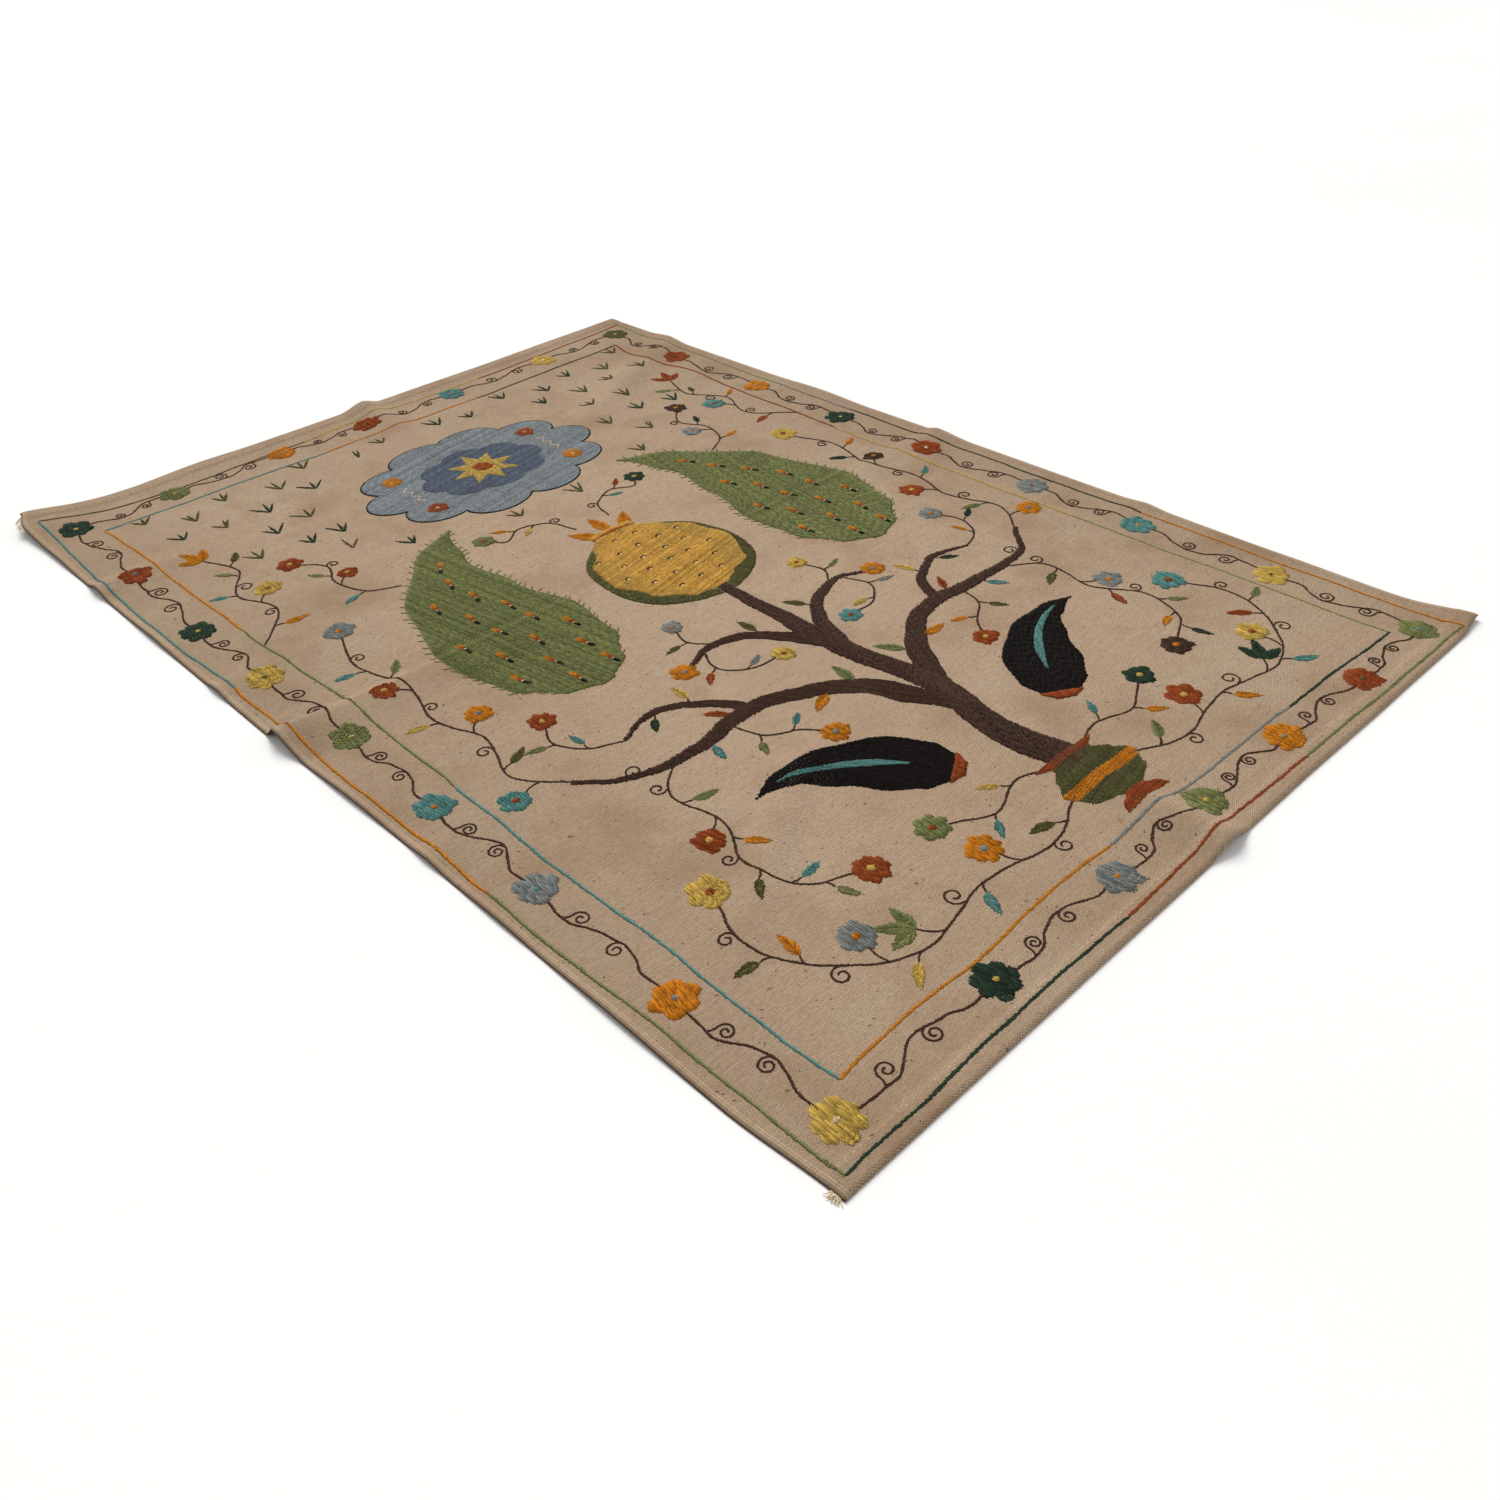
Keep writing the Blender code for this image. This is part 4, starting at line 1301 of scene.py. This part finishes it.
def black_boteh(side):
    path = boteh_path(BLACK_BOTEH, side)
    outline = ribbon(path, BOTEH_WIDTHS, BLACK_BOTEH["width"])
    made = long_and_short(outline, "black", angle=90.0 - 20.0 * side, length=0.016)
    stripe = ribbon(path[22:78], ((0.0, 0.004), (0.3, 0.014), (0.8, 0.009), (1.0, 0.003)))
    made += long_and_short(stripe, "teal", angle=90.0 - 35.0 * side, length=0.012, lift=ON_STITCHES)
    collar = ribbon(path[:6], ((0.0, 0.030), (1.0, 0.066)))
    return made + long_and_short(collar, "rust", angle=90.0, lift=ON_STITCHES)


sew("black_botehs", black_boteh(-1) + black_boteh(1), seed=6)

# %% [markdown]
# The pomegranate is a yellow fruit with a pointed crown, held by an olive leaf on each side. Little black
# and cream marks lie in rows on it.

# %% The pomegranate
FRUIT = (0.0, 0.035)
FRUIT_FOOT = -0.110
FRUIT_HIGH = 0.292
FRUIT_WIDE = 0.252
# The fruit's widths from its foot to its neck, as shares of FRUIT_WIDE.
FRUIT_WIDTHS = ((0.0, 0.06), (0.05, 0.40), (0.18, 0.78), (0.42, 1.0), (0.66, 0.90), (0.84, 0.58),
                (0.94, 0.36), (1.0, 0.36))
MARK_GAP = 0.044
fruit_work = []


def tiny_mark(x, y):
    """A black hook with a cream point in it."""
    hook = spiral(x, y, 0.0062, 15.0, 0.45, inner=0.9)
    point = arc_path(x, y - 0.0036, 90.0, 0.007, 0.0, count=5)
    made = stem_stitch(hook, "black", width=0.0028, length=0.006, step=0.003, lift=0.0009)
    made += stem_stitch(point, "cream", width=0.0030, length=0.005, step=0.003, lift=0.0008)
    return made


for side in (-1, 1):
    sepal_foot = (FRUIT[0] + side * 0.010, FRUIT[1] - 0.158)
    sepal = arc_path(*sepal_foot, 90.0 - side * 72.0, 0.340, side * 124.0, 0.9, count=80)
    sepal_outline = ribbon(sepal, ((0.0, 0.020), (0.35, 0.060), (0.7, 0.046), (1.0, 0.004)))
    fruit_work += long_and_short(sepal_outline, "olive", angle=90.0 + 24.0 * side, length=0.016)
fruit_path = shaky(arc_path(FRUIT[0], FRUIT_FOOT, 90.0, FRUIT_HIGH, 0.0, count=90), 0.003, 0.09)
fruit_outline = ribbon(fruit_path, FRUIT_WIDTHS, FRUIT_WIDE)
fruit_work += long_and_short(fruit_outline, "yellow", angle=12.0, length=0.022, lift=0.0003)
for i, mark_y in enumerate(np.arange(-2.5, 3.0) * 0.9 * MARK_GAP):
    mark_share = (FRUIT[1] + mark_y - FRUIT_FOOT) / FRUIT_HIGH
    half = 0.5 * FRUIT_WIDE * float(read_table(FRUIT_WIDTHS, mark_share)) - 0.014
    for mark_x in np.arange(-2.0 + 0.5 * (i % 2), 3.0) * MARK_GAP:
        if abs(mark_x) < half:
            fruit_work += tiny_mark(FRUIT[0] + mark_x + hand.uniform(-0.003, 0.003), FRUIT[1] + mark_y)
for turn in (-34.0, 0.0, 34.0):
    crown_y = FRUIT_FOOT + FRUIT_HIGH - 0.006 - 0.0003 * abs(turn)
    fruit_work += leaf(FRUIT[0] + 0.0008 * turn, crown_y, 90.0 - turn, 0.062, 0.026, "gold", bend=0.0)
collar_y = FRUIT_FOOT + FRUIT_HIGH - 0.012
collar = shaky(curve_through([(-0.046, collar_y - 0.004), (0.0, collar_y), (0.046, collar_y - 0.004)]))
fruit_work += long_and_short(ribbon(collar, ((0.0, 0.004), (0.5, 0.010), (1.0, 0.004))), "rust", lift=0.0007)
sew("pomegranate", fruit_work, seed=7)

# %% [markdown]
# Above the pomegranate is a large lobed medallion in two blues, with a black edge and a star inside. Four
# small flowers and two zigzags stand on it.

# %% The blue medallion
MEDALLION = (0.0, 0.560)
MEDALLION_HALF = (0.250, 0.185)
RING_HALF = (0.132, 0.098)
STAR_POINTS = 8
STAR_TIP = 0.070
STAR_NOTCH = 0.036


def lobed_ellipse(x, y, half_x, half_y, lobes, depth, count=240):
    angle = np.linspace(0.0, 2.0 * math.pi, count, endpoint=False)
    reach = 1.0 - depth + depth * np.abs(np.cos(0.5 * lobes * angle)) ** 0.7
    return np.column_stack([x + half_x * reach * np.cos(angle), y + half_y * reach * np.sin(angle)])


def star_outline(x, y):
    points = []
    for i in range(2 * STAR_POINTS):
        reach = STAR_NOTCH if i % 2 else STAR_TIP
        angle = math.radians(180.0 / STAR_POINTS * i + 4.0)
        points.append((x + reach * math.cos(angle), y + reach * math.sin(angle)))
    return points


def medallion_flower(side, high):
    spot = (MEDALLION[0] + side * 0.155, MEDALLION[1] + high * 0.078)
    made = flower(*spot, "rust" if side == high else "gold", "cream", radius=0.021, petals=6)
    return [(*stitch[:6], ON_STITCHES, *stitch[7:]) for stitch in made]


medallion_outline = lobed_ellipse(*MEDALLION, *MEDALLION_HALF, 10, 0.16)
medallion_work = long_and_short(medallion_outline, "blue", angle=12.0, length=0.020)
medallion_edge = np.concatenate([medallion_outline, medallion_outline[:1]])
medallion_work += stem_stitch(medallion_edge, "black", width=0.0030, lift=0.0002)
ring = lobed_ellipse(*MEDALLION, *RING_HALF, 8, 0.14)
medallion_work += long_and_short(ring, "dark blue", angle=12.0, length=0.018, lift=ON_STITCHES)
star = star_outline(*MEDALLION)
medallion_work += long_and_short(star, "pale yellow", angle=86.0, length=0.014, lift=2.0 * ON_STITCHES)
heart = petal_outline(*MEDALLION, 0.020, 7)
medallion_work += long_and_short(heart, "rust", angle=90.0, lift=3.0 * ON_STITCHES)
for side in (-1, 1):
    for high in (-1, 1):
        medallion_work += medallion_flower(side, high)
    turns = [(side * (0.150 + 0.014 * (i % 2)), 0.012 * i - 0.036) for i in range(7)]
    zigzag = np.array(MEDALLION) + turns
    medallion_work += stem_stitch(zigzag, "cream", width=0.0018, length=0.006, step=0.0035, lift=ON_STITCHES)
sew("blue_medallion", medallion_work, seed=8)

# %% [markdown]
# Round the medallion stand rows of grass sprigs, each two or three straight dashes that meet at the foot.
# Their rows are a little crooked, and no two sprigs are quite the same.

# %% Grass sprigs
sprig_work = []
# Columns: x, y of a sprig's foot on the right half.
SPRIGS = ((0.055, 0.812), (0.140, 0.790), (0.225, 0.822), (0.310, 0.782), (0.400, 0.820), (0.485, 0.785),
          (0.545, 0.840), (0.270, 0.722), (0.365, 0.700), (0.450, 0.710), (0.540, 0.715), (0.325, 0.625),
          (0.415, 0.620), (0.310, 0.540), (0.385, 0.545), (0.460, 0.540), (0.345, 0.465), (0.075, 0.345),
          (0.270, 0.395))


def sprig(x, y, dye):
    made = []
    size = hand.uniform(0.037, 0.047)
    for lean in (-34.0, -4.0, 30.0):
        if lean > 0.0 and hand.random() < 0.15:
            continue
        heading = 90.0 + lean + hand.uniform(-9.0, 9.0)
        blade = arc_path(x, y, heading, size * hand.uniform(0.75, 1.0), 0.0, count=12)
        outline = ribbon(blade, ((0.0, 0.0028), (0.5, 0.0050), (1.0, 0.0018)))
        made += long_and_short(outline, dye, 90.0 + lean, pitch=0.0014, length=0.016, ragged=0.0004)
    return made


for side in (-1, 1):
    for sprig_x, sprig_y in SPRIGS:
        spot = (side * sprig_x + hand.uniform(-0.012, 0.012), sprig_y + hand.uniform(-0.012, 0.012))
        sprig_work += sprig(*spot, hand.choice(("dark green", "olive", "olive")))
sew("grass_sprigs", sprig_work, seed=9)

# %% Vines and flowers of both halves
# The left half takes the dyes in another order, as makers do to use up their wools.
SWAPS = {"rust": "gold", "gold": "teal", "teal": "pale yellow", "pale yellow": "light blue",
         "light blue": "rust", "green": "olive", "olive": "green", "dark green": "green", "brown": "rust"}
for vine_points, vine_items in VINES:
    left_items = [(*item[:3], SWAPS[item[3]], item[4]) for item in vine_items]
    grow(vine_points, vine_items, 1)
    grow(vine_points, left_items, -1)
sew("field_flowers", field_flowers, seed=10)
sew("field_vines", field_vines, seed=11)

# %% [markdown]
# The short ends are turned under and sewn with a plain running stitch. Only small ticks of the thread show
# on the face of the rug.

# %% Hem sewing
TICK_GAP = 0.011
TICK_WIDTH = 0.0011
TICK_HEIGHT = 0.0003
hem_work = []
for end_side, end_bow in ((-1, NEAR_BOW), (1, FAR_BOW)):
    for tick_x in np.arange(-0.68, 0.68, TICK_GAP):
        tick_y = end_side * (0.5 * LENGTH - HEM_DEPTH - 0.001) + hand.uniform(-0.0008, 0.0008)
        tick_y += end_side * float(read_table(end_bow, tick_x / WIDTH + 0.5))
        tick_end = (tick_x + hand.uniform(0.003, 0.0045), tick_y + 0.0006)
        hem_work.append((tick_x, tick_y, *tick_end, TICK_WIDTH, TICK_HEIGHT, 0.0, "cream", 1.0))
sew("hem_sewing", hem_work, seed=12)

# %% [markdown]
# At two corners the cotton warps end loose. Each end is a thin soft strand. It starts as a six-sided
# circle, and its cap is extruded from point to point along a wandering path, getting thinner towards the
# tip.

# %% Cotton ends
COTTON_DARK = colour_of(196, 172, 138)
COTTON_PALE = colour_of(236, 220, 190)
COTTON_RELIEF = 0.0003


def cotton_material():
    made, tree, shader = wool_shader("loose warp cotton", roughness=0.9, sheen=0.2)
    place = node(tree, "ShaderNodeTexCoord").outputs["Object"]
    fibre = noise(tree, place, 900.0, 3.0, 0.6)
    mixed = blend_colours(tree, ramp(tree, fibre, 0.3, 0.7), COTTON_DARK, COTTON_PALE)
    tree.links.new(mixed, shader.inputs["Base Color"])
    bumpy(tree, shader, fibre, 0.6, COTTON_RELIEF)
    return made


cotton = cotton_material()


def draw_strand(bm, path, thick, tip):
    """A tube from bmesh operators: a circle whose cap is extruded from point to point."""
    first = bmesh.ops.create_circle(bm, cap_ends=True, segments=6, radius=1.0)["verts"]
    face = first[0].link_faces[0]
    ways = np.gradient(path, axis=0)
    rings = [list(face.verts)]
    for _ in path[1:]:
        face = bmesh.ops.extrude_discrete_faces(bm, faces=[face])["faces"][0]
        rings.append(list(face.verts))
    for i, ring in enumerate(rings):
        turn = Vector((0.0, 0.0, 1.0)).rotation_difference(Vector(ways[i])).to_matrix()
        size = thick + (tip - thick) * i / (len(rings) - 1)
        for vert in ring:
            flat = Vector((vert.co.x, vert.co.y, 0.0)) * size
            vert.co = Vector(path[i]) + turn @ flat


# Columns: replaced node, y of the first and the last root, number of strands, length, first and last sweep in
# degrees from straight outwards towards the near end, drop of the tips.
COTTON_ENDS = (
    ("near_corner_warp_ends", -1.0190, -1.0080, 14, 0.0105, 25.0, -20.0, 0.0),
    ("far_corner_warp_ends", 0.9710, 1.0070, 18, 0.0155, 65.0, 5.0, 0.0045),
)
STRAND_RADIUS = 0.00085
STRAND_RINGS = 9
for node_name, first_y, last_y, strand_count, strand_length, first_sweep, last_sweep, drop in COTTON_ENDS:
    bm = bmesh.new()
    for i in range(strand_count):
        share = i / (strand_count - 1)
        root_y = first_y + (last_y - first_y) * share
        root_x = float(bowed(np.array(-0.5 * WIDTH), np.array(root_y))[0]) + 0.001
        low = float(floor_gap(np.array(root_x), np.array(root_y))) + 0.0012
        sweep = first_sweep + (last_sweep - first_sweep) * share + hand.uniform(-22.0, 22.0)
        reach = strand_length * hand.uniform(0.65, 1.1)
        flat = arc_path(root_x, root_y, 180.0 + sweep, reach, hand.uniform(-70.0, 70.0), count=STRAND_RINGS)
        fall = np.linspace(0.0, 1.0, STRAND_RINGS)
        height = low - drop * fall**1.5 + hand.uniform(-0.0004, 0.0012) * np.sin(math.pi * fall)
        height = np.maximum(height, STRAND_RADIUS)
        draw_strand(bm, np.column_stack([flat, height]), STRAND_RADIUS, 0.45 * STRAND_RADIUS)
    bmesh.ops.recalc_face_normals(bm, faces=bm.faces[:])
    mesh = bpy.data.meshes.new(node_name + "_yarn")
    bm.to_mesh(mesh)
    bm.free()
    mesh.shade_smooth()
    ends = finish_piece(node_name + "_yarn", mesh, cotton)
    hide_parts(node_name)

# %% [markdown]
# The studio is a wide pale floor, a pale world for soft light from all sides, and one wide soft sun that
# stands beyond the far right corner. It throws the soft shadows of the folds and edges towards the viewer,
# and a sun, not a lamp near the rug, keeps the light even from end to end.

# %% Floor and light
def make_floor():
    bm = bmesh.new()
    bmesh.ops.create_grid(bm, x_segments=1, y_segments=1, size=30.0)
    mesh = bpy.data.meshes.new("floor")
    bm.to_mesh(mesh)
    bm.free()
    made, tree, shader = wool_shader("pale floor", roughness=0.8, sheen=0.0)
    place = node(tree, "ShaderNodeTexCoord").outputs["Object"]
    tone = blend_colours(tree, noise(tree, place, 0.8, 2.0), (0.90, 0.89, 0.88, 1.0), (0.92, 0.92, 0.91, 1.0))
    tree.links.new(tone, shader.inputs["Base Color"])
    mesh.materials.append(made)
    floor = bpy.data.objects.new("floor", mesh)
    bpy.context.scene.collection.objects.link(floor)


def make_sun(direction, spread, power, colour):
    """A sun that shines from a direction. Its spread in degrees makes the shadows soft."""
    sun = bpy.data.lights.new("key sun", "SUN")
    sun.angle = math.radians(spread)
    sun.energy = power
    sun.color = colour
    made = bpy.data.objects.new("key sun", sun)
    made.rotation_euler = Vector(direction).to_track_quat("Z", "Y").to_euler()
    bpy.context.scene.collection.objects.link(made)


SUN_DIRECTION = (0.50, 0.95, 0.85)
SUN_SPREAD = 30.0
SUN_POWER = 3.1
SUN_COLOUR = (1.0, 0.99, 0.975)
WORLD_STRENGTH = 0.50
make_floor()
make_sun(SUN_DIRECTION, SUN_SPREAD, SUN_POWER, SUN_COLOUR)
world = bpy.data.worlds.new("studio")
world.use_nodes = True
sky = world.node_tree.nodes["Background"]
sky.inputs["Color"].default_value = (1.0, 1.0, 1.0, 1.0)
sky.inputs["Strength"].default_value = WORLD_STRENGTH
bpy.context.scene.world = world
bpy.context.scene.view_settings.view_transform = "Standard"

# %% [markdown]
# The camera stands where the photographer's did, above the near left corner, about a metre up. A camera
# that is aimed at a point keeps its top edge level, and the photographer's was tipped a little, so it is
# rolled afterwards.

# %% Camera
CAMERA_PLACE = Vector((-1.2368, -1.5126, 1.0758)) + Vector(PLAN_SHIFT)
CAMERA_AIM = Vector((-0.2739, -0.4587, 0.0)) + Vector(PLAN_SHIFT)
CAMERA_ROLL = math.radians(-2.83)
LENS = 31.64
camera_data = bpy.data.cameras.new("camera")
camera_data.sensor_fit = "HORIZONTAL"
camera_data.sensor_width = 36.0
camera_data.lens = LENS
camera = bpy.data.objects.new("camera", camera_data)
aimed = (CAMERA_AIM - CAMERA_PLACE).to_track_quat("-Z", "Y").to_matrix().to_4x4()
camera.matrix_world = Matrix.Translation(CAMERA_PLACE) @ aimed @ Matrix.Rotation(CAMERA_ROLL, 4, "Z")
bpy.context.scene.collection.objects.link(camera)
bpy.context.scene.camera = camera
